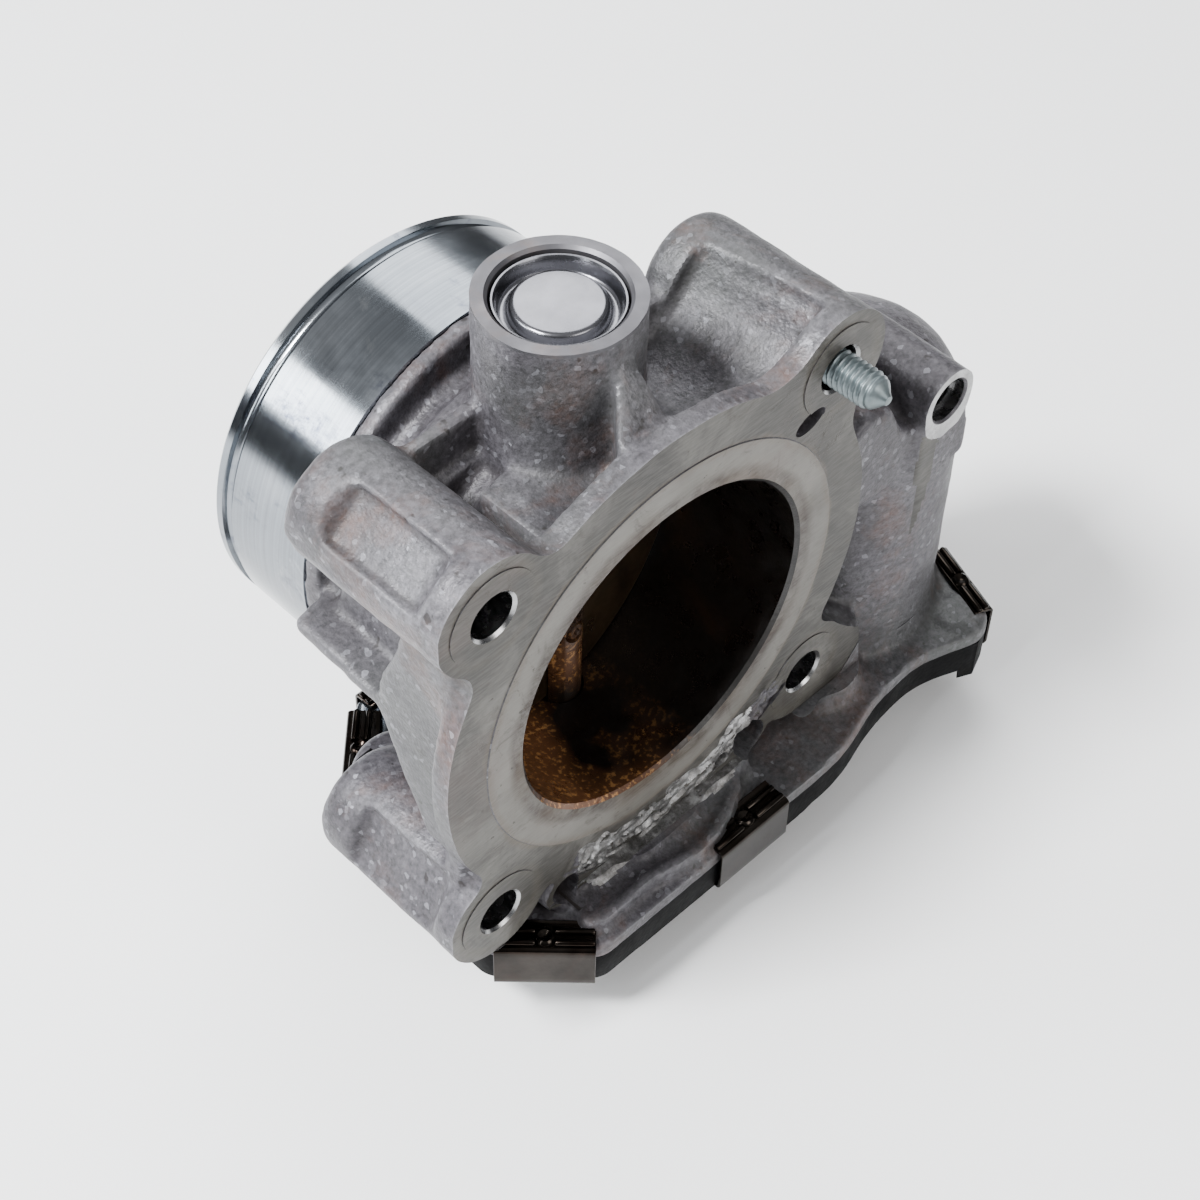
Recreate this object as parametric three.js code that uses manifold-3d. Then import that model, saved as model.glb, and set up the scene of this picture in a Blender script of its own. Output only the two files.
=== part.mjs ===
// Electronic throttle body, standing on its gear cover.
//
// Millimetres. +Z runs up the throttle shaft, the flow comes in along -Y (inlet at +Y, mounting
// flange facing -Y) and the motor sits on the +X side. The origin is where the shaft's axis meets
// the flat outer face of the gear cover.

import * as THREE from 'three';
import { mergeVertices } from 'three/addons/utils/BufferGeometryUtils.js';
import Module from 'manifold-3d';

const wasm = await Module();
wasm.setup();

// ---------------------------------------------------------------- driving dimensions
const GAP = 0.3;                 // left between pieces that touch

const BORE_Z = 65;               // bore axis above the gear cover's outer face
const BORE_R = 28.5;
const FLANGE_Y = -23.1;          // machined face that bolts to the manifold
const FLANGE_BACK_Y = -19;
const FLANGE_R = 43.3;
const BOLT_HALF_PITCH = 34;      // four holes on a 68 mm square
const BOLT_HOLE_R = 3.75;
const BOSS_R = 9.6;              // round bosses around the bolt holes
const BOSS_BACK_Y = 8.5;
const SEAT_Y = 3.4;              // floor of the counterbore behind each long boss
const SEAT_R = 5.9;
const SHORT_BOSS_BACK_Y = -15;   // the boss beside the motor is a short one
const BARREL_R = 32.8;
const BARREL_GROOVE_R = 30.9;     // cast groove in front of the inlet spigot
const BARREL_GROOVE_Y = 12.7;

const INLET_Y = 41.5;
const INLET_START_Y = 17.8;
const INLET_R = 34.9;
const INLET_MOUTH_R = 31.6;
const INLET_SHIFT_X = 2.5;       // the inlet spigot is a little off the bore's axis
const INLET_SHIFT_Z = 1.6;

const PLUG_BOSS_R = 12.2;
const PLUG_BOSS_TOP = BORE_Z + 54.3;
const PLUG_R = 9.5;
const PLUG_SEAT_Z = BORE_Z + 47;
const WALL_TOP_Z = BORE_Z + 37;  // cross walls between the upper bosses and the plug boss
const PAD_TOP_Z = BORE_Z + 32;

const SHAFT_R = 4;
const SHAFT_TAIL_R = 3;
const SHAFT_TOP_Z = BORE_Z + 41;
const SHAFT_TAIL_Z = 5.3;
const BEARING_R = 7.9;
const PLATE_R = 28.25;           // butterfly
const PLATE_THICKNESS = 2;
const REST_ANGLE = 7;            // degrees that the butterfly stands open at rest
const PLATE_SCREW_Z = 13;        // above and below the bore's axis

const COVER_FLOOR = 2.2;
const RIM_BOTTOM_Z = 9.5;
const RIM_TOP_Z = 15.5;
const BASE_BOTTOM_Z = 15.8;      // underside of the housing's gear plate
const BASE_TOP_Z = 18;
const RAISED_TOP_Z = 20.5;       // round raised floor above the sector gear
const RAISED_R = 27.6;
const COVER_WALL = 2.2;

const SPRING_R = 13.2;
const SPRING_WIRE_R = 0.75;
const SPRING_TURNS = 4.2;
const SPRING_LOW_Z = 17.4;
const SPRING_HIGH_Z = 26.6;
const POCKET_TOP_Z = 28;         // spring pocket around the lower bearing boss
const POCKET_R = 15.7;
const LOWER_BOSS_R = 10.6;
const LOWER_BOSS_Z = 17;

const MODULE = 1;                // gear teeth
const PRESSURE_ANGLE = THREE.MathUtils.degToRad(25);
const BACKLASH = 0.24;
const SECTOR_TEETH = 48;
const SMALL_TEETH = 12;
const BIG_TEETH = 50;
const PINION_TEETH = 14;
const CENTRE_SLACK = 0.1;
const SECTOR_START = -92;        // degrees, the toothed stretch of the sector gear at rest
const SECTOR_END = 20;
const SECTOR_LOW_Z = 11;
const SECTOR_HIGH_Z = 15.3;
const BIG_LOW_Z = 5.4;
const BIG_HIGH_Z = 9.4;

const MOTOR_X = 61.9;
const MOTOR_Y = -3.5;
const MOTOR_HOUSING_R = 19.6;
const MOTOR_DOME_Z = BORE_Z - 3;          // the rounded end starts here
const MOTOR_DOME_HEIGHT = 14;
const MOTOR_CAVITY_R = 17;
const MOTOR_CAVITY_TOP = 61.5;
const MOTOR_CAN_R = 16.2;
const MOTOR_CAN_LOW_Z = 20.2;
const MOTOR_CAN_TOP_Z = 58;
const MOTOR_SCREW_R = 18.9;
const MOTOR_SCREW_ANGLES = [100, 280];
const BRACKET_BOSS = { x: 63.4, z: BORE_Z + 8.1, r: 5.65, holeR: 3.1, depth: 14 };

const CONNECTOR_X = 27;
const CONNECTOR_HALF_WIDTH = 12;
const CONNECTOR_END_Y = 53;
const CONNECTOR_PINS = 6;
const CLIP_WIDTH = 16;

// Corner points of the gear plate's outline, anticlockwise from the front left, with the radius
// that rounds each corner.
const OUTLINE = [
  [-21.5, -33, 2], [35, -33, 14], [47, -29.3, 8], [60, -28.2, 8], [71.5, -32.8, 2.5],
  [76.3, -30.8, 2.5], [83, -12, 10], [83, 6, 10], [76, 19, 6], [64, 23, 6], [50, 27.5, 5],
  [46, 36.5, 6], [8, 36.5, 6], [2, 31.5, 1.5], [-17, 31.5, 2], [-30.5, 18, 2], [-34.5, 12, 5],
  [-34.5, -20, 2],
];

// Corner points of the gear cover's deep part, in the same order.
const DOME_OUTLINE = [
  [-12, -28.6, 4], [36, -28.8, 6], [52, -22.5, 5], [68, -19, 5], [75, -10, 5], [75, 4, 5],
  [66, 13, 5], [53, 20, 5], [40, 29.4, 5], [20, 29.4, 5], [-2, 28, 5], [-8, 27.6, 4], [-26, 9.6, 5],
  [-26, -14, 5],
];

// Spring clips: middle of the outline's edge that each one grips, and its outward direction.
const CLIPS = {
  clip_front_left: { at: [-28, -26.5], facing: 225, reach: 4.6 },
  clip_front: { at: [12.5, -33], facing: 270, reach: 4.4 },
  clip_right: { at: [79.2, -22.6], facing: -19.6, reach: 2.7 },
  clip_rear_left: { at: [-24.3, 24.2], facing: 135, reach: 4.6 },
  clip_rear: { at: [-8, 31.5], facing: 90, reach: 3.1 },
};

// ---------------------------------------------------------------- materials
const finish = (color, roughness, metalness) =>
  new THREE.MeshStandardMaterial({ color, roughness, metalness });

const castAluminium = finish(0x8a8890, 0.55, 0.85);
const blackPlastic = finish(0x1c1c1e, 0.6, 0);
const whitePlastic = finish(0xd9d4c6, 0.5, 0);
const springSteel = finish(0x9b938c, 0.28, 1);
const brightSteel = finish(0xb4b6b8, 0.3, 1);
const zincSteel = finish(0x96a5aa, 0.4, 0.9);
const brass = finish(0xb08a3e, 0.35, 1);
const rubber = finish(0x202020, 0.85, 0);
const circuitBoard = finish(0x1f4a2c, 0.55, 0);
const copper = finish(0xa35a34, 0.4, 1);
const ferrite = finish(0x3a3a3d, 0.7, 0.1);
const motorSteel = finish(0xa0a2a6, 0.4, 0.9);

// ---------------------------------------------------------------- solids
function toSolid(geometry) {
  geometry.deleteAttribute('normal');
  geometry.deleteAttribute('uv');
  const merged = mergeVertices(geometry, 1e-4);
  const position = merged.attributes.position;
  const index = Array.from(merged.index.array);
  const triangles = [];
  for (let i = 0; i < index.length; i += 3) {
    const [a, b, c] = index.slice(i, i + 3);
    if (a !== b && b !== c && c !== a) triangles.push(a, b, c);
  }
  if (signedVolume(position, triangles) < 0) triangles.reverse();
  return new wasm.Manifold(new wasm.Mesh({
    numProp: 3,
    vertProperties: new Float32Array(position.array),
    triVerts: new Uint32Array(triangles),
  }));
}

function signedVolume(position, triangles) {
  const corner = [new THREE.Vector3(), new THREE.Vector3(), new THREE.Vector3()];
  let volume = 0;
  for (let i = 0; i < triangles.length; i += 3) {
    corner.forEach((point, k) => point.fromBufferAttribute(position, triangles[i + k]));
    volume += corner[0].dot(corner[1].clone().cross(corner[2])) / 6;
  }
  return volume;
}

const join = (first, ...rest) => rest.reduce((sum, solid) => sum.add(solid), first);
const cut = (first, ...rest) => rest.reduce((left, solid) => left.subtract(solid), first);

function box(x0, x1, y0, y1, z0, z1) {
  const geometry = new THREE.BoxGeometry(x1 - x0, y1 - y0, z1 - z0);
  geometry.translate((x0 + x1) / 2, (y0 + y1) / 2, (z0 + z1) / 2);
  return toSolid(geometry);
}

// A cylinder along Z from z0 to z1.
function rodZ(r, z0, z1, x = 0, y = 0, sides = 32) {
  const geometry = new THREE.CylinderGeometry(r, r, z1 - z0, sides);
  geometry.rotateX(Math.PI / 2);
  geometry.translate(x, y, (z0 + z1) / 2);
  return toSolid(geometry);
}

// A cylinder along Y from y0 to y1.
function rodY(r, y0, y1, x, z, sides = 32) {
  const geometry = new THREE.CylinderGeometry(r, r, y1 - y0, sides);
  geometry.translate(x, (y0 + y1) / 2, z);
  return toSolid(geometry);
}

// A turned solid about the Z direction. The profile is a list of [radius, z].
function turnedZ(profile, x = 0, y = 0, sides = 32) {
  const geometry = new THREE.LatheGeometry(profile.map(([r, z]) => new THREE.Vector2(r, z)), sides);
  geometry.rotateX(Math.PI / 2);
  geometry.translate(x, y, 0);
  return toSolid(geometry);
}

// A turned solid about the Y direction. The profile is a list of [radius, y].
function turnedY(profile, x, z, sides = 32) {
  const geometry = new THREE.LatheGeometry(profile.map(([r, y]) => new THREE.Vector2(r, y)), sides);
  geometry.translate(x, 0, z);
  return toSolid(geometry);
}

// A ring along Z, open through its middle.
const ringZ = (inner, outer, z0, z1, x = 0, y = 0, sides = 32) => turnedZ(
  [[inner, z0], [outer, z0], [outer, z1], [inner, z1], [inner, z0]], x, y, sides);

function polygon(points) {
  return new THREE.Shape(points.map(([u, v]) => new THREE.Vector2(u, v)));
}

// A flat shape in X and Y, given thickness from z0 to z1.
function slabZ(shape, z0, z1, curveSegments = 4) {
  const geometry = new THREE.ExtrudeGeometry(shape,
    { depth: z1 - z0, bevelEnabled: false, curveSegments });
  geometry.translate(0, 0, z0);
  return toSolid(geometry);
}

// A flat shape in X and Z, given thickness from y0 to y1.
function slabY(points, y0, y1) {
  const geometry = new THREE.ExtrudeGeometry(polygon(points.map(([x, z]) => [x, -z])),
    { depth: y1 - y0, bevelEnabled: false });
  geometry.rotateX(-Math.PI / 2);
  geometry.applyMatrix4(new THREE.Matrix4().set(
    1, 0, 0, 0,
    0, 1, 0, y0,
    0, 0, 1, 0,
    0, 0, 0, 1));
  return toSolid(geometry);
}

// A flat shape in Y and Z, given thickness from x0 to x1.
function slabX(points, x0, x1) {
  const geometry = new THREE.ExtrudeGeometry(polygon(points),
    { depth: x1 - x0, bevelEnabled: false });
  geometry.applyMatrix4(new THREE.Matrix4().set(
    0, 0, 1, x0,
    1, 0, 0, 0,
    0, 1, 0, 0,
    0, 0, 0, 1));
  return toSolid(geometry);
}

// The outline's corners, each edge moved inwards by the inset.
function insetCorners(corners, inset) {
  const edges = corners.map(([x, y], i) => {
    const [nx, ny] = corners[(i + 1) % corners.length];
    const along = new THREE.Vector2(nx - x, ny - y).normalize();
    const start = new THREE.Vector2(x - along.y * inset, y + along.x * inset);
    return { start, along };
  });
  return corners.map(([, , radius], i) => {
    const before = edges[(i + edges.length - 1) % edges.length];
    const after = edges[i];
    const turn = before.along.cross(after.along);
    const gap = after.start.clone().sub(before.start);
    const reach = gap.cross(after.along) / turn;
    const corner = before.start.clone().addScaledVector(before.along, reach);
    return { corner, radius };
  });
}

// An outline with rounded corners, moved inwards by the inset.
function outline(inset = 0, points = OUTLINE) {
  const corners = insetCorners(points, inset);
  const shape = new THREE.Shape();
  corners.forEach(({ corner, radius }, i) => {
    const previous = corners[(i + corners.length - 1) % corners.length].corner;
    const next = corners[(i + 1) % corners.length].corner;
    const reach = Math.min(radius, corner.distanceTo(previous) * 0.45,
      corner.distanceTo(next) * 0.45);
    const enter = corner.clone().lerp(previous, reach / corner.distanceTo(previous));
    const leave = corner.clone().lerp(next, reach / corner.distanceTo(next));
    if (i === 0) shape.moveTo(enter.x, enter.y);
    else shape.lineTo(enter.x, enter.y);
    shape.quadraticCurveTo(corner.x, corner.y, leave.x, leave.y);
  });
  shape.closePath();
  return shape;
}

function turnAbout(solid, degrees, x = 0, y = 0) {
  return solid.translate([-x, -y, 0]).rotate([0, 0, degrees]).translate([x, y, 0]);
}

const polar = (radius, degrees, x = 0, y = 0) => [
  x + radius * Math.cos(THREE.MathUtils.degToRad(degrees)),
  y + radius * Math.sin(THREE.MathUtils.degToRad(degrees)),
];

// ---------------------------------------------------------------- gear train geometry
const SECTOR_PITCH_R = SECTOR_TEETH * MODULE / 2;
const SMALL_PITCH_R = SMALL_TEETH * MODULE / 2;
const BIG_PITCH_R = BIG_TEETH * MODULE / 2;
const PINION_PITCH_R = PINION_TEETH * MODULE / 2;

// The intermediate gear's axis lies where both centre distances meet, behind the line from the
// throttle shaft to the motor.
function intermediateAxis() {
  const toShaft = SECTOR_PITCH_R + SMALL_PITCH_R + CENTRE_SLACK;
  const toMotor = BIG_PITCH_R + PINION_PITCH_R + CENTRE_SLACK;
  const span = Math.hypot(MOTOR_X, MOTOR_Y);
  const along = (toShaft ** 2 - toMotor ** 2 + span ** 2) / (2 * span);
  const aside = Math.sqrt(toShaft ** 2 - along ** 2);
  return [
    (MOTOR_X * along - MOTOR_Y * aside) / span,
    (MOTOR_Y * along + MOTOR_X * aside) / span,
  ];
}
const [MIDDLE_X, MIDDLE_Y] = intermediateAxis();
const MESH_1 = THREE.MathUtils.radToDeg(Math.atan2(MIDDLE_Y, MIDDLE_X));
const MESH_2 = THREE.MathUtils.radToDeg(Math.atan2(MOTOR_Y - MIDDLE_Y, MOTOR_X - MIDDLE_X));

// Half the angle of a tooth at radius r, on involute flanks.
function toothHalfAngle(teeth, pitchR, r) {
  const baseR = pitchR * Math.cos(PRESSURE_ANGLE);
  const involute = (angle) => Math.tan(angle) - angle;
  const atPitch = (Math.PI * MODULE / 2 - BACKLASH) / 2 / pitchR;
  const angle = Math.acos(Math.min(1, baseR / r));
  return atPitch + involute(PRESSURE_ANGLE) - involute(angle);
}

// Outline points of the teeth whose middles lie at the given angles, in radians.
function toothPoints(teeth, middles) {
  const pitchR = teeth * MODULE / 2;
  const tipR = pitchR + 0.85 * MODULE;
  const rootR = pitchR - 1.2 * MODULE;
  const baseR = pitchR * Math.cos(PRESSURE_ANGLE);
  const flank = [Math.max(rootR, baseR), pitchR + 0.1, tipR];
  const points = [];
  for (const middle of middles) {
    const rise = flank.map((r) => [r, middle - toothHalfAngle(teeth, pitchR, r)]);
    const fall = flank.map((r) => [r, middle + toothHalfAngle(teeth, pitchR, r)]).reverse();
    rise[0][0] = rootR;
    fall[2][0] = rootR;
    points.push(...rise, ...fall);
  }
  return points.map(([r, angle]) => [r * Math.cos(angle), r * Math.sin(angle)]);
}

// A full gear along Z with a tooth's middle at the angle toothAt, in degrees.
function spurGear(teeth, toothAt, z0, z1, x, y) {
  const start = THREE.MathUtils.degToRad(toothAt);
  const middles = Array.from({ length: teeth }, (_, i) => start + i * 2 * Math.PI / teeth);
  return slabZ(polygon(toothPoints(teeth, middles)), z0, z1).translate([x, y, 0]);
}

// ---------------------------------------------------------------- housing
function flange() {
  const lobes = [[-1, -1], [-1, 1], [1, -1], [1, 1]].map(([sx, sz]) => rodY(
    BOSS_R, FLANGE_Y, FLANGE_BACK_Y, sx * BOLT_HALF_PITCH, BORE_Z + sz * BOLT_HALF_PITCH, 28));
  return join(rodY(FLANGE_R, FLANGE_Y, FLANGE_BACK_Y, 0, BORE_Z, 64), ...lobes);
}

// A long boss with a rounded back edge.
const longBoss = (x, z) => turnedY([
  [0, FLANGE_Y + 1], [BOSS_R - 0.2, FLANGE_Y + 1], [BOSS_R - 0.2, BOSS_BACK_Y - 2],
  [BOSS_R - 1.8, BOSS_BACK_Y], [0, BOSS_BACK_Y],
], x, z, 28);

function bosses() {
  const p = BOLT_HALF_PITCH;
  const short = rodY(BOSS_R - 0.2, FLANGE_Y + 1, SHORT_BOSS_BACK_Y, p, BORE_Z - p, 28);
  const bracket = turnedY([
    [0, FLANGE_Y], [BRACKET_BOSS.r, FLANGE_Y], [BRACKET_BOSS.r, -1.5], [BRACKET_BOSS.r - 2, 1.5], [0, 2.5],
  ], BRACKET_BOSS.x, BRACKET_BOSS.z, 20);
  const bracketRoot = box(BRACKET_BOSS.x - BRACKET_BOSS.r, BRACKET_BOSS.x + BRACKET_BOSS.r,
    FLANGE_Y + 0.5, -1.5, MOTOR_DOME_Z - 3.5, BRACKET_BOSS.z);
  return join(longBoss(-p, BORE_Z + p), longBoss(-p, BORE_Z - p), longBoss(p, BORE_Z + p),
    short, bracket, bracketRoot);
}

// The barrel around the bore, with the turned inlet spigot at its back end.
function barrel() {
  const spigot = turnedY([
    [0, INLET_START_Y], [INLET_R, INLET_START_Y], [INLET_R, INLET_Y - 3.6],
    [INLET_R - 0.7, INLET_Y - 3.2], [INLET_R - 0.7, INLET_Y - 2.2], [INLET_R, INLET_Y - 1.8],
    [INLET_R, INLET_Y - 0.6], [INLET_R - 0.6, INLET_Y], [0, INLET_Y],
  ], INLET_SHIFT_X, BORE_Z + INLET_SHIFT_Z, 60);
  const body = turnedY([
    [0, FLANGE_Y + 1], [BARREL_R, FLANGE_Y + 1], [BARREL_R, BARREL_GROOVE_Y],
    [BARREL_GROOVE_R, BARREL_GROOVE_Y + 0.8], [BARREL_GROOVE_R, INLET_START_Y + 1], [0, INLET_START_Y + 1],
  ], 0, BORE_Z, 56);
  return join(body, spigot);
}

// The upright boss over the shaft's upper end, with the walls, pad and gusset around it.
function plugTower() {
  const tower = turnedZ([
    [0, BORE_Z + 20], [PLUG_BOSS_R + 1.3, BORE_Z + 20], [PLUG_BOSS_R + 1.1, PAD_TOP_Z],
    [PLUG_BOSS_R, PAD_TOP_Z + 5], [PLUG_BOSS_R, PLUG_BOSS_TOP], [0, PLUG_BOSS_TOP],
  ], 0, 0, 36);
  const p = BOLT_HALF_PITCH;
  const wall = slabY([
    [-p, WALL_TOP_Z], [-p, BORE_Z + 22], [-22, BORE_Z + 14], [22, BORE_Z + 14],
    [24, BORE_Z + 19.5], [p - 4, BORE_Z + 29], [p, BORE_Z + 27], [p, WALL_TOP_Z - 1],
    [p - 9, WALL_TOP_Z - 3], [10, WALL_TOP_Z + 2], [-10, WALL_TOP_Z + 1], [-p + 9, WALL_TOP_Z - 1],
  ], 3, 6.5);
  const pad = box(-19, 5, FLANGE_BACK_Y - 1, -3.5, BORE_Z + 18, PAD_TOP_Z);
  const gusset = wasm.Manifold.hull([
    [0.2, -10.5, PLUG_BOSS_TOP - 3.5], [1.6, -10.5, PLUG_BOSS_TOP - 3.5],
    [-7.4, FLANGE_BACK_Y - 0.5, BORE_Z + 41.8], [2.4, FLANGE_BACK_Y - 0.5, BORE_Z + 42.2],
    [0.2, -10.5, PAD_TOP_Z - 5], [1.6, -10.5, PAD_TOP_Z - 5],
    [-7.4, FLANGE_BACK_Y - 0.5, PAD_TOP_Z - 5], [2.4, FLANGE_BACK_Y - 0.5, PAD_TOP_Z - 5],
  ]);
  return join(tower, wall, pad, gusset);
}

// The gear plate, its raised round floor and the drum that holds the return spring.
function gearPlate() {
  const plate = slabZ(outline(), BASE_BOTTOM_Z, BASE_TOP_Z);
  const raised = turnedZ([
    [0, BASE_BOTTOM_Z], [RAISED_R + 1, BASE_BOTTOM_Z], [RAISED_R, RAISED_TOP_Z], [0, RAISED_TOP_Z],
  ], 0, 0, 48);
  const insideEdge = slabZ(outline(1.5), BASE_BOTTOM_Z, RAISED_TOP_Z + 1);
  const drum = rodZ(POCKET_R + 2.6, BASE_BOTTOM_Z, BORE_Z - BORE_R - 1, 0, 0, 40);
  const pinBoss = rodZ(5, BASE_BOTTOM_Z, 25, MIDDLE_X, MIDDLE_Y, 24);
  return join(plate, raised.intersect(insideEdge), drum, pinBoss);
}

function motorHousing() {
  const r = MOTOR_HOUSING_R;
  const dome = [15, 30, 45, 60, 75].map((degrees) => {
    const t = THREE.MathUtils.degToRad(degrees);
    return [r * Math.cos(t), MOTOR_DOME_Z + MOTOR_DOME_HEIGHT * Math.sin(t)];
  });
  const shell = turnedZ([
    [0, BASE_BOTTOM_Z], [r + 1.2, BASE_BOTTOM_Z], [r + 0.9, BASE_TOP_Z + 0.4],
    [r, BASE_TOP_Z + 2.5], [r, MOTOR_DOME_Z], ...dome, [0, MOTOR_DOME_Z + MOTOR_DOME_HEIGHT],
  ], MOTOR_X, MOTOR_Y, 40);
  const web = box(24, 46, -9, 6, BASE_TOP_Z - 1, BORE_Z - 6);
  const p = BOLT_HALF_PITCH;
  const ridge = slabY([
    [p - 4, BORE_Z + 30], [p + 8, BORE_Z + 30.5], [p + 15, BORE_Z + 19], [MOTOR_X - 4, BORE_Z - 2],
    [MOTOR_X - 12, BORE_Z - 10], [p + 6, BORE_Z - 10], [p, BORE_Z + 12],
  ], 3, 7);
  return join(shell, web, ridge);
}

// Gusset and shelf on the left of the barrel, and the feet under the low bosses.
function sideWebs() {
  const p = BOLT_HALF_PITCH;
  const gusset = slabX([
    [FLANGE_BACK_Y - 1, BORE_Z + p - 6], [FLANGE_BACK_Y - 1, BORE_Z - p + 6], [-14.5, BORE_Z - 22],
    [-9.6, BORE_Z - 11.6], [-5.6, BORE_Z - 2.7], [-3.6, BORE_Z + 2.5], [-4.2, BORE_Z + 8],
    [-9.2, BORE_Z + 20], [-9.8, BORE_Z + p - 6],
  ], -39.5, -31);
  const shelf = box(-38.5, -26, FLANGE_BACK_Y - 1, 16, BORE_Z + 2.2, BORE_Z + 5);
  const leftFoot = box(-33.5, -25, -13, BOSS_BACK_Y - 2.5, BASE_BOTTOM_Z, BORE_Z - p);
  const rightFoot = box(p - 6, p + 6, FLANGE_Y + 2, SHORT_BOSS_BACK_Y, BASE_BOTTOM_Z, BORE_Z - p);
  const collar = box(-33, -20, 10, INLET_START_Y + 1, BORE_Z - 14, BORE_Z - 4);
  return join(gusset, shelf, leftFoot, rightFoot, collar);
}

function airPath() {
  const inlet = turnedY([
    [0, 14], [BORE_R - 1, 14], [BORE_R - 1, 20], [INLET_MOUTH_R, INLET_Y - 8],
    [INLET_MOUTH_R, INLET_Y + 1], [0, INLET_Y + 1],
  ], INLET_SHIFT_X, BORE_Z + INLET_SHIFT_Z, 56);
  return join(rodY(BORE_R, FLANGE_Y - 1, 27, 0, BORE_Z, 72), inlet);
}

function boltHoles() {
  const p = BOLT_HALF_PITCH;
  const holes = [[-1, -1], [-1, 1], [1, -1], [1, 1]].map(([sx, sz]) => rodY(
    BOLT_HOLE_R, FLANGE_Y - 1, BOSS_BACK_Y + 1, sx * p, BORE_Z + sz * p, 20));
  const seats = [[-1, -1], [-1, 1], [1, 1]].map(([sx, sz]) => rodY(
    SEAT_R, SEAT_Y, BOSS_BACK_Y + 1, sx * p, BORE_Z + sz * p, 20));
  const bracketHole = rodY(BRACKET_BOSS.holeR, FLANGE_Y - 1, FLANGE_Y + BRACKET_BOSS.depth,
    BRACKET_BOSS.x, BRACKET_BOSS.z, 16);
  return join(...holes, ...seats, bracketHole);
}

function shaftBores() {
  const upper = turnedZ([
    [0, BORE_Z], [SHAFT_R + 0.4, BORE_Z], [SHAFT_R + 0.4, BORE_Z + 30], [BEARING_R + GAP, BORE_Z + 30],
    [BEARING_R + GAP, PLUG_SEAT_Z], [PLUG_R + GAP, PLUG_SEAT_Z], [PLUG_R + GAP, PLUG_BOSS_TOP + 1],
    [0, PLUG_BOSS_TOP + 1],
  ], 0, 0, 28);
  const lower = turnedZ([
    [0, LOWER_BOSS_Z - 3], [BEARING_R + GAP, LOWER_BOSS_Z - 3], [BEARING_R + GAP, 30.5],
    [SHAFT_R + 0.4, 30.5], [SHAFT_R + 0.4, BORE_Z], [0, BORE_Z],
  ], 0, 0, 28);
  return join(upper, lower);
}

function springPocket() {
  const gearRoom = turnedZ([
    [0, BASE_BOTTOM_Z - 1], [RAISED_R - 2.5, BASE_BOTTOM_Z - 1], [RAISED_R - 2.8, BASE_TOP_Z],
    [POCKET_R, BASE_TOP_Z], [POCKET_R, POCKET_TOP_Z], [LOWER_BOSS_R, POCKET_TOP_Z],
    [LOWER_BOSS_R, LOWER_BOSS_Z], [0, LOWER_BOSS_Z],
  ], 0, 0, 36);
  return gearRoom;
}

function motorCavity() {
  const cavity = rodZ(MOTOR_CAVITY_R, BASE_BOTTOM_Z - 1, MOTOR_CAVITY_TOP, MOTOR_X, MOTOR_Y, 40);
  const screwHoles = MOTOR_SCREW_ANGLES.map((angle) => rodZ(1.7, BASE_BOTTOM_Z - 1, 20,
    ...polar(MOTOR_SCREW_R, angle, MOTOR_X, MOTOR_Y), 12));
  return join(cavity, ...screwHoles);
}

// Shallow panels let into the sides of the two left bosses.
function bossPanels() {
  const p = BOLT_HALF_PITCH;
  const panel = (z, tilt) => box(-7, 7, -17, 4, BOSS_R - 1.4, BOSS_R + 3)
    .rotate([0, tilt, 0]).translate([-p, 0, z]);
  return join(panel(BORE_Z + p, -38), panel(BORE_Z - p, -62));
}

function housing() {
  const casting = join(flange(), bosses(), barrel(), plugTower(), gearPlate(), motorHousing(),
    sideWebs());
  return cut(casting, bossPanels(), airPath(), boltHoles(), shaftBores(), springPocket(),
    motorCavity(), rodZ(2.3, BASE_BOTTOM_Z - 1, 22, MIDDLE_X, MIDDLE_Y, 16))
    .add(stopLugs());
}

// Cast lugs that the sector gear's two edges come up to at the ends of its travel.
function stopLugs() {
  const lug = (degrees) => rodZ(1.6, 12, BASE_TOP_Z + 1, ...polar(20, degrees), 12);
  return join(lug(SECTOR_START - 6 - 9), lug(SECTOR_END + 78 + 9));
}

// ---------------------------------------------------------------- gear cover and its seal
const DOME_TOP_Z = RIM_BOTTOM_Z + 1.2;
const SEAL_INSET = 1.5;
const SEAL_Z = RIM_TOP_Z - 1.1;

function connectorShell() {
  const half = CONNECTOR_HALF_WIDTH;
  const outer = box(CONNECTOR_X - half, CONNECTOR_X + half, 27, CONNECTOR_END_Y, 0.6, 13.4);
  const key = box(CONNECTOR_X - 3, CONNECTOR_X + 3, 38, CONNECTOR_END_Y - 3, 13, 14.9);
  return join(outer, key);
}

const connectorMouth = () => box(CONNECTOR_X - CONNECTOR_HALF_WIDTH + 1.8,
  CONNECTOR_X + CONNECTOR_HALF_WIDTH - 1.8, 39, CONNECTOR_END_Y + 1, 2.4, 11.6);

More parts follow.
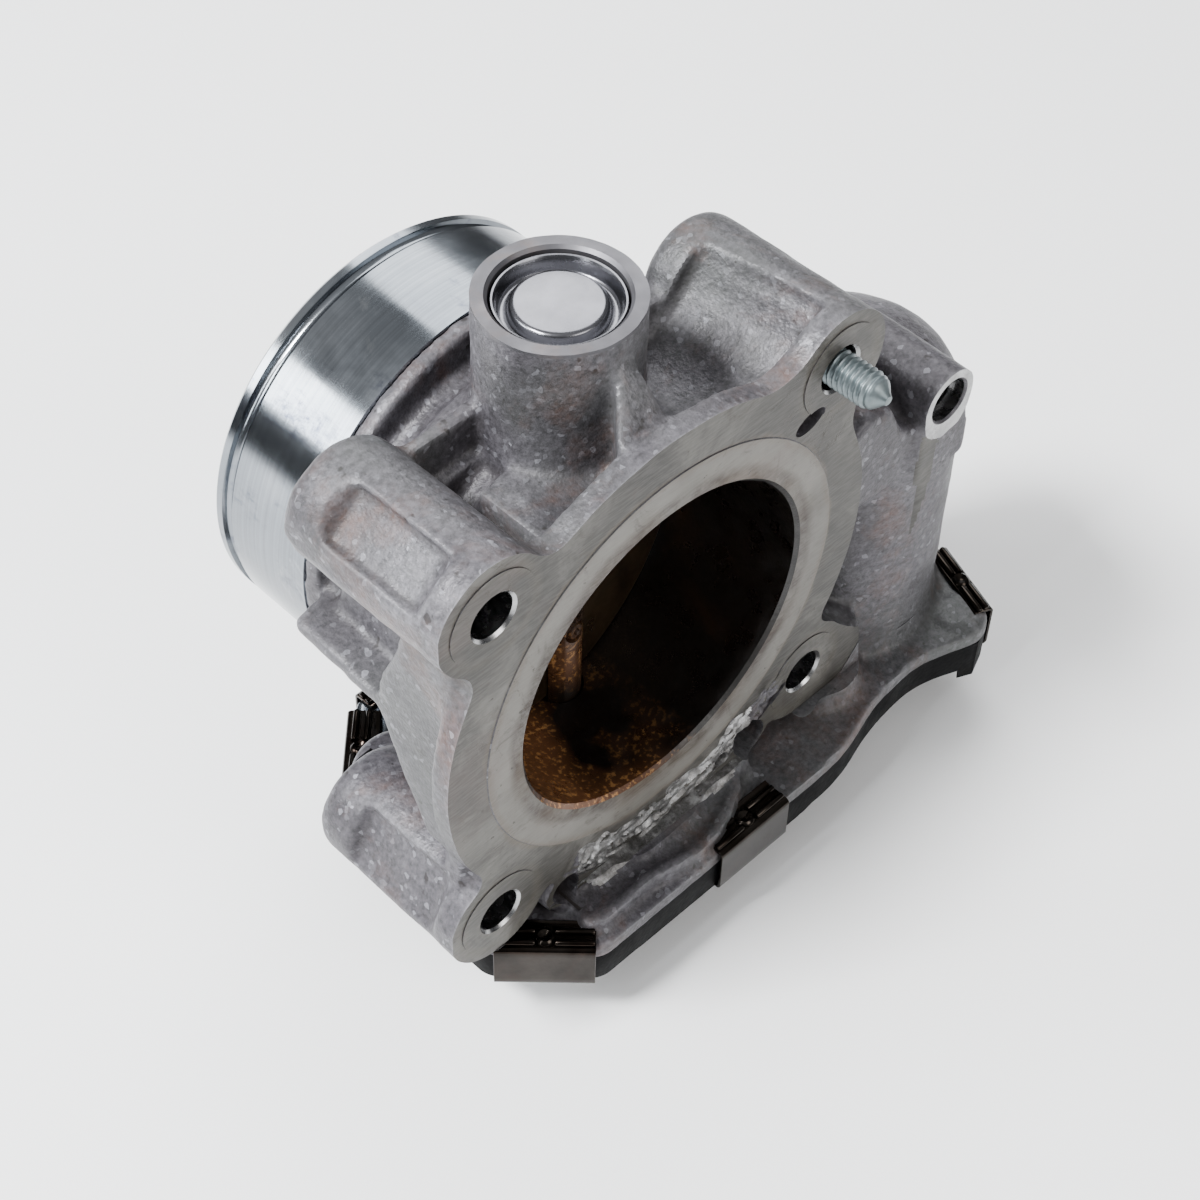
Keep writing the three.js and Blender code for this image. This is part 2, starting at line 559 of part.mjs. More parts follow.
function gearCover() {
  const rim = slabZ(outline(0.3), RIM_BOTTOM_Z, RIM_TOP_Z);
  const dome = slabZ(outline(0, DOME_OUTLINE), 0, DOME_TOP_Z);
  const cornerLug = rodZ(2.2, 7, RIM_TOP_Z, 70.7, -29.6, 20);
  const rimRoom = slabZ(outline(3.2), RIM_BOTTOM_Z + 1.6, RIM_TOP_Z + 1);
  const domeRoom = slabZ(outline(COVER_WALL, DOME_OUTLINE), COVER_FLOOR, RIM_TOP_Z + 1);
  const groove = slabZ(outline(0.9), SEAL_Z, RIM_TOP_Z + 1)
    .subtract(slabZ(outline(2.5), SEAL_Z - 1, RIM_TOP_Z + 2));
  const shell = cut(join(rim, dome, cornerLug, connectorShell()), rimRoom, domeRoom, groove,
    connectorMouth());
  const pinSlots = connectorPinPlaces().map(([x, z]) => box(x - 0.7, x + 0.7, 25, 40,
    z - 0.7, z + 0.7));
  return cut(shell, ...pinSlots);
}

const coverSeal = () => slabZ(outline(0.9 + GAP), SEAL_Z + GAP, RIM_TOP_Z + 0.1)
  .subtract(slabZ(outline(2.5 - GAP), SEAL_Z - 1, RIM_TOP_Z + 2));

const connectorPinPlaces = () => Array.from({ length: CONNECTOR_PINS }, (_, i) => [
  CONNECTOR_X + (i - (CONNECTOR_PINS - 1) / 2) * 2.9, 7]);

const connectorPin = ([x, z]) => box(x - 0.4, x + 0.4, 27.3, 46, z - 0.4, z + 0.4);

// A bent strip clip: a flat outer face, a ribbed arm over the housing and a short arm below.
function clip({ at, facing, reach }) {
  const top = BASE_TOP_Z + GAP;
  const bottom = RIM_BOTTOM_Z - GAP;
  const strip = 0.6;
  const rib = 0.8;
  const ribs = reach > 4 ? [0.5, 2.5] : [0.8];
  const profile = [
    [GAP, top], [GAP, bottom], [-2.8, bottom], [-2.8, bottom - strip], [GAP + strip, bottom - strip],
    [GAP + strip, top + strip],
    ...ribs.flatMap((x) => [[-x, top + strip], [-x - 0.3, top + strip + rib],
      [-x - 1.2, top + strip + rib], [-x - 1.5, top + strip]]),
    [-reach, top + strip], [-reach, top],
  ];
  const solid = slabY(profile, -CLIP_WIDTH / 2, CLIP_WIDTH / 2);
  return solid.rotate([0, 0, facing]).translate([at[0], at[1], 0]);
}

// ---------------------------------------------------------------- throttle shaft and butterfly
const PLATE_SLOT = PLATE_THICKNESS / 2 + GAP;
const SCREW_FLAT_Y = SHAFT_R - 0.8;

function throttleShaft() {
  const round = turnedZ([
    [0, SHAFT_TAIL_Z], [SHAFT_TAIL_R, SHAFT_TAIL_Z], [SHAFT_TAIL_R, 10.6], [SHAFT_R, 10.6],
    [SHAFT_R, SHAFT_TOP_Z - 0.6], [SHAFT_R - 0.6, SHAFT_TOP_Z], [0, SHAFT_TOP_Z],
  ], 0, 0, 28);
  const slot = box(-5, 5, -PLATE_SLOT, PLATE_SLOT, BORE_Z - PLATE_R - 0.6, BORE_Z + PLATE_R + 0.6);
  const screwCuts = [-1, 1].map((side) => {
    const z = BORE_Z + side * PLATE_SCREW_Z;
    return join(box(-5, 5, SCREW_FLAT_Y, 5, z - 4, z + 4), rodY(2.1, -5, 5, 0, z, 16));
  });
  return turnAbout(cut(round, slot, ...screwCuts), REST_ANGLE);
}

function throttlePlate() {
  const half = PLATE_THICKNESS / 2;
  const disc = rodY(PLATE_R, -half, half, 0, BORE_Z, 56);
  const holes = [-1, 1].map((side) => rodY(2.1, -3, 3, 0, BORE_Z + side * PLATE_SCREW_Z, 16));
  return turnAbout(cut(disc, ...holes), REST_ANGLE);
}

function plateScrew(side) {
  const headLow = SCREW_FLAT_Y + GAP;
  const profile = [
    [0, -SHAFT_R - 0.4], [1.7, -SHAFT_R - 0.4], [1.7, headLow], [3.2, headLow],
    [3.2, headLow + 1.2], [2.2, headLow + 2], [0, headLow + 2],
  ];
  return turnAbout(turnedY(profile, 0, BORE_Z + side * PLATE_SCREW_Z, 18), REST_ANGLE);
}

const bearing = (z0, z1) => ringZ(SHAFT_R + 0.25, BEARING_R, z0, z1, 0, 0, 32);
const shaftSeal = (z0, z1) => ringZ(SHAFT_R + 0.2, BEARING_R - 0.1, z0, z1, 0, 0, 28);

// A cup pressed into the boss, with a sunk ring round a raised middle.
const expansionPlug = () => turnedZ([
  [0, PLUG_SEAT_Z + GAP], [PLUG_R, PLUG_SEAT_Z + GAP], [PLUG_R, PLUG_BOSS_TOP - 1],
  [PLUG_R - 0.7, PLUG_BOSS_TOP - 0.8], [PLUG_R - 1.1, PLUG_BOSS_TOP - 3.2], [PLUG_R - 2.1, PLUG_BOSS_TOP - 3.4],
  [PLUG_R - 2.6, PLUG_BOSS_TOP - 2.2], [0, PLUG_BOSS_TOP - 2],
], 0, 0, 32);

class CoilCurve extends THREE.Curve {
  getPoint(t, target = new THREE.Vector3()) {
    const angle = t * SPRING_TURNS * 2 * Math.PI;
    return target.set(SPRING_R * Math.cos(angle), SPRING_R * Math.sin(angle),
      SPRING_LOW_Z + (SPRING_HIGH_Z - SPRING_LOW_Z) * t);
  }
}

function returnSpring() {
  const section = polygon(Array.from({ length: 6 }, (_, i) => polar(SPRING_WIRE_R, i * 60)));
  return toSolid(new THREE.ExtrudeGeometry(section,
    { steps: 64, bevelEnabled: false, extrudePath: new CoilCurve() }));
}

// ---------------------------------------------------------------- gears
function sectorGear() {
  const step = 360 / SECTOR_TEETH;
  const first = Math.ceil((SECTOR_START - MESH_1) / step);
  const last = Math.floor((SECTOR_END - MESH_1) / step);
  const middles = [];
  for (let i = first; i <= last; i += 1) {
    middles.push(THREE.MathUtils.degToRad(MESH_1 + i * step));
  }
  const hub = polar(6, 150);
  const web = slabZ(polygon([...toothPoints(SECTOR_TEETH, middles), hub, polar(6, 230)]),
    SECTOR_LOW_Z, SECTOR_HIGH_Z);
  const boss = rodZ(7.4, SECTOR_LOW_Z, 16.7, 0, 0, 32);
  const window = ringZ(10.5, 19, SECTOR_LOW_Z - 1, 16, 0, 0, 40)
    .intersect(slabZ(polygon([[0, 0], polar(40, -78), polar(50, -35), polar(40, 6)]), 0, 20));
  return cut(join(web, boss), window, rodZ(SHAFT_R + GAP, 0, 20, 0, 0, 28));
}

function intermediateGear() {
  const big = spurGear(BIG_TEETH, MESH_2, BIG_LOW_Z, BIG_HIGH_Z, MIDDLE_X, MIDDLE_Y);
  const halfStep = 180 / SMALL_TEETH;
  const small = spurGear(SMALL_TEETH, MESH_1 + 180 + halfStep, BIG_HIGH_Z - 1, SECTOR_HIGH_Z,
    MIDDLE_X, MIDDLE_Y);
  const relief = ringZ(9.5, 20.5, BIG_LOW_Z + 2.6, BIG_HIGH_Z + 1, MIDDLE_X, MIDDLE_Y, 28);
  return cut(join(big.subtract(relief), small), rodZ(2.25, 0, 20, MIDDLE_X, MIDDLE_Y, 20));
}

function motorPinion() {
  const halfStep = 180 / PINION_TEETH;
  const gear = spurGear(PINION_TEETH, MESH_2 + 180 + halfStep, BIG_LOW_Z - 0.8, BIG_HIGH_Z + 0.8,
    MOTOR_X, MOTOR_Y);
  return cut(gear, rodZ(1.8, 0, 20, MOTOR_X, MOTOR_Y, 16));
}

const gearPin = () => rodZ(2, COVER_FLOOR + 0.8, 21.5, MIDDLE_X, MIDDLE_Y, 20);

// ---------------------------------------------------------------- motor
const atMotor = (profile, sides) => turnedZ(profile, MOTOR_X, MOTOR_Y, sides);

const motorCan = () => atMotor([
  [2.4, MOTOR_CAN_TOP_Z], [MOTOR_CAN_R - 1, MOTOR_CAN_TOP_Z], [MOTOR_CAN_R, MOTOR_CAN_TOP_Z - 1],
  [MOTOR_CAN_R, MOTOR_CAN_LOW_Z], [MOTOR_CAN_R - 1.2, MOTOR_CAN_LOW_Z],
  [MOTOR_CAN_R - 1.2, MOTOR_CAN_TOP_Z - 1.4], [2.4, MOTOR_CAN_TOP_Z - 1.4], [2.4, MOTOR_CAN_TOP_Z],
], 32);

const motorShaft = () => atMotor([
  [0, BIG_LOW_Z - 1], [1.5, BIG_LOW_Z - 1], [1.5, MOTOR_CAN_TOP_Z - 0.6], [0, MOTOR_CAN_TOP_Z - 0.6],
], 16);

// Laminated rotor with three winding slots.
function motorArmature() {
  const core = atMotor([
    [1.8, 30], [10.4, 30], [10.4, 52], [1.8, 52], [1.8, 30],
  ], 30);
  const slots = [0, 120, 240].map((angle) => box(6, 12, -1.4, 1.4, 29, 53)
    .rotate([0, 0, angle]).translate([MOTOR_X, MOTOR_Y, 0]));
  return cut(core, ...slots);
}

const motorCommutator = () => ringZ(1.8, 4.6, 23, 28.5, MOTOR_X, MOTOR_Y, 20);

// One of the two curved magnets against the can's wall.
function motorMagnet(degrees) {
  const arc = ringZ(11.2, MOTOR_CAN_R - 1.5, 29, 53, MOTOR_X, MOTOR_Y, 36);
  const wedge = slabZ(polygon([[0, 0], polar(40, degrees - 62), polar(60, degrees),
    polar(40, degrees + 62)]), 0, 70).translate([MOTOR_X, MOTOR_Y, 0]);
  return arc.intersect(wedge);
}

const motorBrush = (side) => box(MOTOR_X + (side > 0 ? 4.9 : -9.4), MOTOR_X + (side > 0 ? 9.4 : -4.9),
  MOTOR_Y - 1.6, MOTOR_Y + 1.6, 24, 27.4);

// End plate with two ears that hangs the motor from the housing.
function motorEndPlate() {
  const plate = rodZ(MOTOR_CAN_R - 1.6, 13.3, BASE_BOTTOM_Z - GAP, MOTOR_X, MOTOR_Y, 28);
  const ears = MOTOR_SCREW_ANGLES.map((angle) => join(
    rodZ(3.1, 13.3, BASE_BOTTOM_Z - GAP, ...polar(MOTOR_SCREW_R, angle, MOTOR_X, MOTOR_Y), 20),
    slabZ(polygon([polar(12, angle - 20), polar(MOTOR_SCREW_R, angle - 8.5),
      polar(MOTOR_SCREW_R, angle + 8.5), polar(12, angle + 20)]), 13.3, BASE_BOTTOM_Z - GAP)
      .translate([MOTOR_X, MOTOR_Y, 0])));
  const neck = rodZ(MOTOR_CAN_R - 1.6, 15, 22.4, MOTOR_X, MOTOR_Y, 28);
  const holes = MOTOR_SCREW_ANGLES.map((angle) => rodZ(1.7, 12, 17,
    ...polar(MOTOR_SCREW_R, angle, MOTOR_X, MOTOR_Y), 12));
  const terminals = [150, 210].map((angle) => {
    const [x, y] = polar(12, angle, MOTOR_X, MOTOR_Y);
    return box(x - 0.6, x + 0.6, y - 1.5, y + 1.5, 10, 24);
  });
  return cut(join(plate, neck, ...ears), rodZ(2.4, 10, 30, MOTOR_X, MOTOR_Y, 20), ...holes,
    ...terminals);
}

function motorTerminal(degrees) {
  const [x, y] = polar(12, degrees, MOTOR_X, MOTOR_Y);
  return box(x - 0.3, x + 0.3, y - 1.2, y + 1.2, 10.6, 22);
}

function motorScrew(degrees) {
  const [x, y] = polar(MOTOR_SCREW_R, degrees, MOTOR_X, MOTOR_Y);
  const headTop = 13.3 - GAP;
  return turnedZ([
    [0, headTop - 1.5], [2, headTop - 1.5], [2.6, headTop - 1], [2.6, headTop], [1.4, headTop],
    [1.4, 19.4], [0, 19.4],
  ], x, y, 16);
}

// Waved washer that pushes the motor down from the top of its cavity.
function motorWaveSpring() {
  const segments = 30;
  const geometry = new THREE.LatheGeometry(
    [[12, -0.25], [15, -0.25], [15, 0.25], [12, 0.25], [12, -0.25]]
      .map(([r, z]) => new THREE.Vector2(r, z)), segments);
  const position = geometry.attributes.position;
  for (let i = 0; i < position.count; i += 1) {
    const angle = Math.atan2(position.getZ(i), position.getX(i));
    position.setY(i, position.getY(i) + 0.9 * Math.cos(3 * angle));
  }
  geometry.rotateX(Math.PI / 2);
  geometry.translate(MOTOR_X, MOTOR_Y, (MOTOR_CAN_TOP_Z + MOTOR_CAVITY_TOP) / 2);
  return toSolid(geometry);
}

// ---------------------------------------------------------------- sensor and fasteners
const sensorMagnet = () => rodZ(5, SHAFT_TAIL_Z - 1.6, SHAFT_TAIL_Z - 0.3, 0, 0, 24);

function sensorBoard() {
  const board = box(-9, 12, -9, 9, COVER_FLOOR + 0.2, COVER_FLOOR + 1);
  const tail = box(10, 20, -2, 9, COVER_FLOOR + 0.2, COVER_FLOOR + 1);
  return join(board, tail);
}

// Socket-head bolt left in the upper right hole, its threaded end standing out of the flange.
function flangeBolt() {
  const p = BOLT_HALF_PITCH;
  const headLow = SEAT_Y + GAP;
  const headTop = BOSS_BACK_Y - 0.2;
  const solid = turnedY([
    [0, -32.2], [1.1, -31.7], [2.9, -29.6], [3, headLow], [4.9, headLow], [4.9, headTop],
    [2.6, headTop], [2.6, headTop - 2.6], [0, headTop - 2.6],
  ], p, BORE_Z + p, 24);
  return solid;
}

// ---------------------------------------------------------------- assembly
const throttleBody = new THREE.Group();

function place(name, solid, material) {
  const { vertProperties, triVerts } = solid.getMesh();
  const geometry = new THREE.BufferGeometry();
  geometry.setAttribute('position', new THREE.BufferAttribute(new Float32Array(vertProperties), 3));
  geometry.setIndex(new THREE.BufferAttribute(new Uint32Array(triVerts), 1));
  geometry.computeVertexNormals();
  const mesh = new THREE.Mesh(geometry, material);
  mesh.name = name;
  throttleBody.add(mesh);
}

place('housing', housing(), castAluminium);
place('gear_cover', gearCover(), blackPlastic);
place('cover_seal', coverSeal(), rubber);
for (const [name, spec] of Object.entries(CLIPS)) place(name, clip(spec), springSteel);
place('expansion_plug', expansionPlug(), brightSteel);

place('throttle_shaft', throttleShaft(), brightSteel);
place('throttle_plate', throttlePlate(), brass);
place('plate_screw_upper', plateScrew(1), zincSteel);
place('plate_screw_lower', plateScrew(-1), zincSteel);
place('upper_bearing', bearing(BORE_Z + 34.5, BORE_Z + 42), brightSteel);
place('lower_bearing', bearing(17.6, 25.2), brightSteel);
place('upper_shaft_seal', shaftSeal(BORE_Z + 30.4, BORE_Z + 34), rubber);
place('lower_shaft_seal', shaftSeal(25.8, 30), rubber);
place('return_spring', returnSpring(), springSteel);

place('sector_gear', sectorGear(), whitePlastic);
place('intermediate_gear', intermediateGear(), whitePlastic);
place('gear_pin', gearPin(), brightSteel);
place('motor_pinion', motorPinion(), brass);

place('motor_can', motorCan(), motorSteel);
place('motor_end_plate', motorEndPlate(), blackPlastic);
place('motor_shaft', motorShaft(), brightSteel);
place('motor_armature', motorArmature(), motorSteel);
place('motor_commutator', motorCommutator(), copper);
place('motor_magnet_front', motorMagnet(270), ferrite);
place('motor_magnet_rear', motorMagnet(90), ferrite);
place('motor_brush_left', motorBrush(-1), ferrite);
place('motor_brush_right', motorBrush(1), ferrite);
place('motor_terminal_front', motorTerminal(210), copper);
place('motor_terminal_rear', motorTerminal(150), copper);
place('motor_screw_rear', motorScrew(MOTOR_SCREW_ANGLES[0]), zincSteel);
place('motor_screw_front', motorScrew(MOTOR_SCREW_ANGLES[1]), zincSteel);
place('motor_wave_spring', motorWaveSpring(), springSteel);

place('sensor_magnet', sensorMagnet(), ferrite);
place('sensor_board', sensorBoard(), circuitBoard);
connectorPinPlaces().forEach((at, i) => place(`connector_pin_${i + 1}`, connectorPin(at), brass));
place('flange_bolt', flangeBolt(), zincSteel);

export default throttleBody;
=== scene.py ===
"""Electronic throttle body: the looks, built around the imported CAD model.

Lengths in the builders below are millimetres in the part's frame; meshes are stored in metres.
"""

import math

import bmesh
import bpy
import numpy as np
from mathutils import Matrix, Vector, noise


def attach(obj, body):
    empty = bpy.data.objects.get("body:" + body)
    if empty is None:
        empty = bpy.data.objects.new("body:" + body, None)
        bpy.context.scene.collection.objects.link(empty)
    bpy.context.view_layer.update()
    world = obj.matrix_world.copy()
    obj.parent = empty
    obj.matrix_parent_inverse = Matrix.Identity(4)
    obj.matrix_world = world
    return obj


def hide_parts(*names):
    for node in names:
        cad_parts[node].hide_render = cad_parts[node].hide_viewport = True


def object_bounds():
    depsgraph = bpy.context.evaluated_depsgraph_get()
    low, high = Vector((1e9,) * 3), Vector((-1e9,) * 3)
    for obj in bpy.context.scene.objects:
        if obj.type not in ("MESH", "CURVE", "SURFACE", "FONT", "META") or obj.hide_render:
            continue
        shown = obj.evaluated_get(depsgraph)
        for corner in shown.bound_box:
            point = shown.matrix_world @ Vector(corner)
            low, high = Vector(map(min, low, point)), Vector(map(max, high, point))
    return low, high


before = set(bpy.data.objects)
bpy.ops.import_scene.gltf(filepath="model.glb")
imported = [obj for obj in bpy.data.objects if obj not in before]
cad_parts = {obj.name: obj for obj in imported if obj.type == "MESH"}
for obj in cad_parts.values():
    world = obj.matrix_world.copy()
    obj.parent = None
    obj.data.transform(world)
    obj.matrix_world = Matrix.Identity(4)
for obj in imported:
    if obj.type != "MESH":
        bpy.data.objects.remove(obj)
cad_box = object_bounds()

MM = 0.001
BORE_Z = 65.0
BORE_R = 28.5
FLANGE_Y = -23.1
PITCH = 34.0
PLATE_LOW = 15.8
PLATE_TOP = 18.0
PLUG_TOP = BORE_Z + 54.3
INLET = (2.5, BORE_Z + 1.6)
INLET_Y = 41.5
MOTOR = (61.9, -3.5)
BRACKET = (63.4, BORE_Z + 8.1)
LUGS = ((21.8, BORE_Z - 41), (-20, BORE_Z - 42.2))
PLATE_SCREW_Z = 13
REST_ANGLE = 7
FLANGE_HOLES = [(sx * PITCH, BORE_Z + sz * PITCH) for sx in (-1, 1) for sz in (-1, 1)]

OUTLINE = [
    (-21.5, -33, 2), (35, -33, 14), (47, -29.3, 8), (60, -28.2, 8), (71.5, -32.8, 2.5),
    (76.3, -30.8, 2.5), (83, -12, 10), (83, 6, 10), (76, 19, 6), (64, 23, 6), (50, 27.5, 5),
    (46, 36.5, 6), (8, 36.5, 6), (2, 31.5, 1.5), (-17, 31.5, 2), (-30.5, 18, 2), (-34.5, 12, 5),
    (-34.5, -20, 2),
]
DOME_OUTLINE = [
    (-12, -28.6, 4), (36, -28.8, 6), (52, -22.5, 5), (68, -19, 5), (75, -10, 5), (75, 4, 5),
    (66, 13, 5), (53, 20, 5), (40, 29.4, 5), (20, 29.4, 5), (-2, 28, 5), (-8, 27.6, 4),
    (-26, 9.6, 5), (-26, -14, 5),
]
CLIPS = {
    "clip_front_left": ((-28, -26.5), 225, 4.6),
    "clip_front": ((12.5, -33), 270, 4.4),
    "clip_right": ((79.2, -22.6), -19.6, 2.7),
    "clip_rear_left": ((-24.3, 24.2), 135, 4.6),
    "clip_rear": ((-8, 31.5), 90, 3.1),
}


# ---------- mesh builders
def shell(verts, faces):
    """A closed shell, its faces turned outwards, as (vertices in mm, faces)."""
    bm = bmesh.new()
    made = [bm.verts.new(v) for v in verts]
    for face in faces:
        bm.faces.new([made[i] for i in face])
    bmesh.ops.recalc_face_normals(bm, faces=bm.faces)
    if bm.calc_volume(signed=True) < 0:
        bmesh.ops.reverse_faces(bm, faces=bm.faces)
    bm.verts.index_update()
    out = ([tuple(v.co) for v in bm.verts], [[v.index for v in f.verts] for f in bm.faces])
    bm.free()
    return out


def place(axis, a, b, h):
    """The point at (a, b) across an axis and h along it: XY for Z, XZ for Y, YZ for X."""
    return {"Z": (a, b, h), "Y": (a, h, b), "X": (h, a, b)}[axis]


def turned(profile, centre, axis="Y", sides=64):
    """A solid of revolution of (radius, height) pairs, closed or ending on the axis."""
    closed = profile[0] == profile[-1]
    rows = profile[:-1] if closed else profile
    verts, rings = [], []
    for r, h in rows:
        if r < 1e-6:
            rings.append([len(verts)])
            verts.append(place(axis, centre[0], centre[1], h))
            continue
        rings.append(list(range(len(verts), len(verts) + sides)))
        for i in range(sides):
            t = 2 * math.pi * i / sides
            verts.append(place(axis, centre[0] + r * math.cos(t), centre[1] + r * math.sin(t), h))
    pairs = list(zip(rings, rings[1:])) + ([(rings[-1], rings[0])] if closed else [])
    faces = []
    for low, high in pairs:
        for i in range(sides):
            j = (i + 1) % sides
            if len(low) == 1 and len(high) == 1:
                continue
            if len(low) == 1:
                faces.append((low[0], high[j], high[i]))
            elif len(high) == 1:
                faces.append((low[i], low[j], high[0]))
            else:
                faces.append((low[i], low[j], high[j], high[i]))
    return shell(verts, faces)


def rod(r, lo, hi, centre, axis="Y", sides=48):
    return turned([(0, lo), (r, lo), (r, hi), (0, hi)], centre, axis, sides)


def prism(points, lo, hi, axis="Z", far=None):
    """A prism between two heights, drawn out to another outline where far is given."""
    n = len(points)
    verts = [place(axis, a, b, lo) for a, b in points]
    verts += [place(axis, a, b, hi) for a, b in far or points]
    faces = [tuple(range(n)), tuple(range(n, 2 * n))]
    faces += [(i, (i + 1) % n, n + (i + 1) % n, n + i) for i in range(n)]
    return shell(verts, faces)


def block(x0, x1, y0, y1, z0, z1):
    return prism([(x0, y0), (x1, y0), (x1, y1), (x0, y1)], z0, z1)


def spun(part, degrees, centre, axis="Y"):
    """A shell turned about an axis through centre."""
    verts, faces = part
    turn = Matrix.Rotation(math.radians(degrees), 4, axis)
    at = Vector(place(axis, centre[0], centre[1], 0))
    return [tuple(turn @ (Vector(v) - at) + at) for v in verts], faces


def polar(r, degrees, x=0.0, y=0.0):
    t = math.radians(degrees)
    return x + r * math.cos(t), y + r * math.sin(t)


def inset_corners(corners, inset):
    n = len(corners)
    edges = []
    for i in range(n):
        a, b = Vector(corners[i][:2]), Vector(corners[(i + 1) % n][:2])
        along = (b - a).normalized()
        edges.append((a + Vector((-along.y, along.x)) * inset, along))
    out = []
    for i in range(n):
        (p, u), (q, v) = edges[i - 1], edges[i]
        reach = (q - p).cross(v) / u.cross(v)
        out.append((p + u * reach, corners[i][2]))
    return out


def outline(inset=0.0, points=OUTLINE, steps=6):
    """An outline's points with rounded corners, moved inwards by the inset."""
    corners = inset_corners(points, inset)
    n = len(corners)
    out = []
    for i, (c, radius) in enumerate(corners):
        before, after = corners[i - 1][0], corners[(i + 1) % n][0]
        reach = min(radius, (c - before).length * 0.45, (c - after).length * 0.45)
        enter = c + (before - c).normalized() * reach
        leave = c + (after - c).normalized() * reach
        for k in range(steps + 1):
            t = k / steps
            p = enter * (1 - t) ** 2 + c * 2 * t * (1 - t) + leave * t * t
            out.append((p.x, p.y))
    return out


def in_scene(name, data):
    obj = bpy.data.objects.new(name, data)
    bpy.context.scene.collection.objects.link(obj)
    return obj


def make(name, shells, mat=None):
    """One mesh object from closed shells given in millimetres."""
    verts, faces = [], []
    for vs, fs in shells:
        base = len(verts)
        verts += [(x * MM, y * MM, z * MM) for x, y, z in vs]
        faces += [[i + base for i in f] for f in fs]
    mesh = bpy.data.meshes.new(name)
    mesh.from_pydata(verts, [], faces)
    mesh.update()
    if mat:
        mesh.materials.append(mat)
    return in_scene(name, mesh)


def shade(obj, degrees=35):
    obj.data.shade_smooth()
    obj.data.set_sharp_from_angle(angle=math.radians(degrees))


def settle(obj):
    """Applies an object's modifiers."""
    graph = bpy.context.evaluated_depsgraph_get()
    mesh = bpy.data.meshes.new_from_object(obj.evaluated_get(graph))
    old = obj.data
    obj.modifiers.clear()
    obj.data = mesh
    bpy.data.meshes.remove(old)


def boolean(obj, tool, operation="DIFFERENCE"):
    mod = obj.modifiers.new("bool", "BOOLEAN")
    mod.object = tool
    mod.operation = operation
    mod.solver = "MANIFOLD"
    settle(obj)
    mesh = tool.data
    bpy.data.objects.remove(tool)
    bpy.data.meshes.remove(mesh)


def cut(obj, *shells):
    boolean(obj, make("cut", shells))


def add(obj, *shells):
    boolean(obj, make("add", shells), "UNION")


def remesh(obj, voxel):
    mod = obj.modifiers.new("voxel", "REMESH")
    mod.mode = "VOXEL"
    mod.voxel_size = voxel * MM
    mod.adaptivity = 0
    settle(obj)


def soften(obj, rounds, factor=0.5):
    mod = obj.modifiers.new("soft", "SMOOTH")
    mod.iterations = rounds
    mod.factor = factor
    settle(obj)


def bevel(obj, width, segments=2, angle=35):
    mod = obj.modifiers.new("bevel", "BEVEL")
    mod.width = width * MM
    mod.segments = segments
    mod.limit_method = "ANGLE"
    mod.angle_limit = math.radians(angle)
    mod.harden_normals = False
    settle(obj)


def stand_in(obj, body, slot, *nodes):
    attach(obj, body)
    if nodes:
        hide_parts(*nodes)


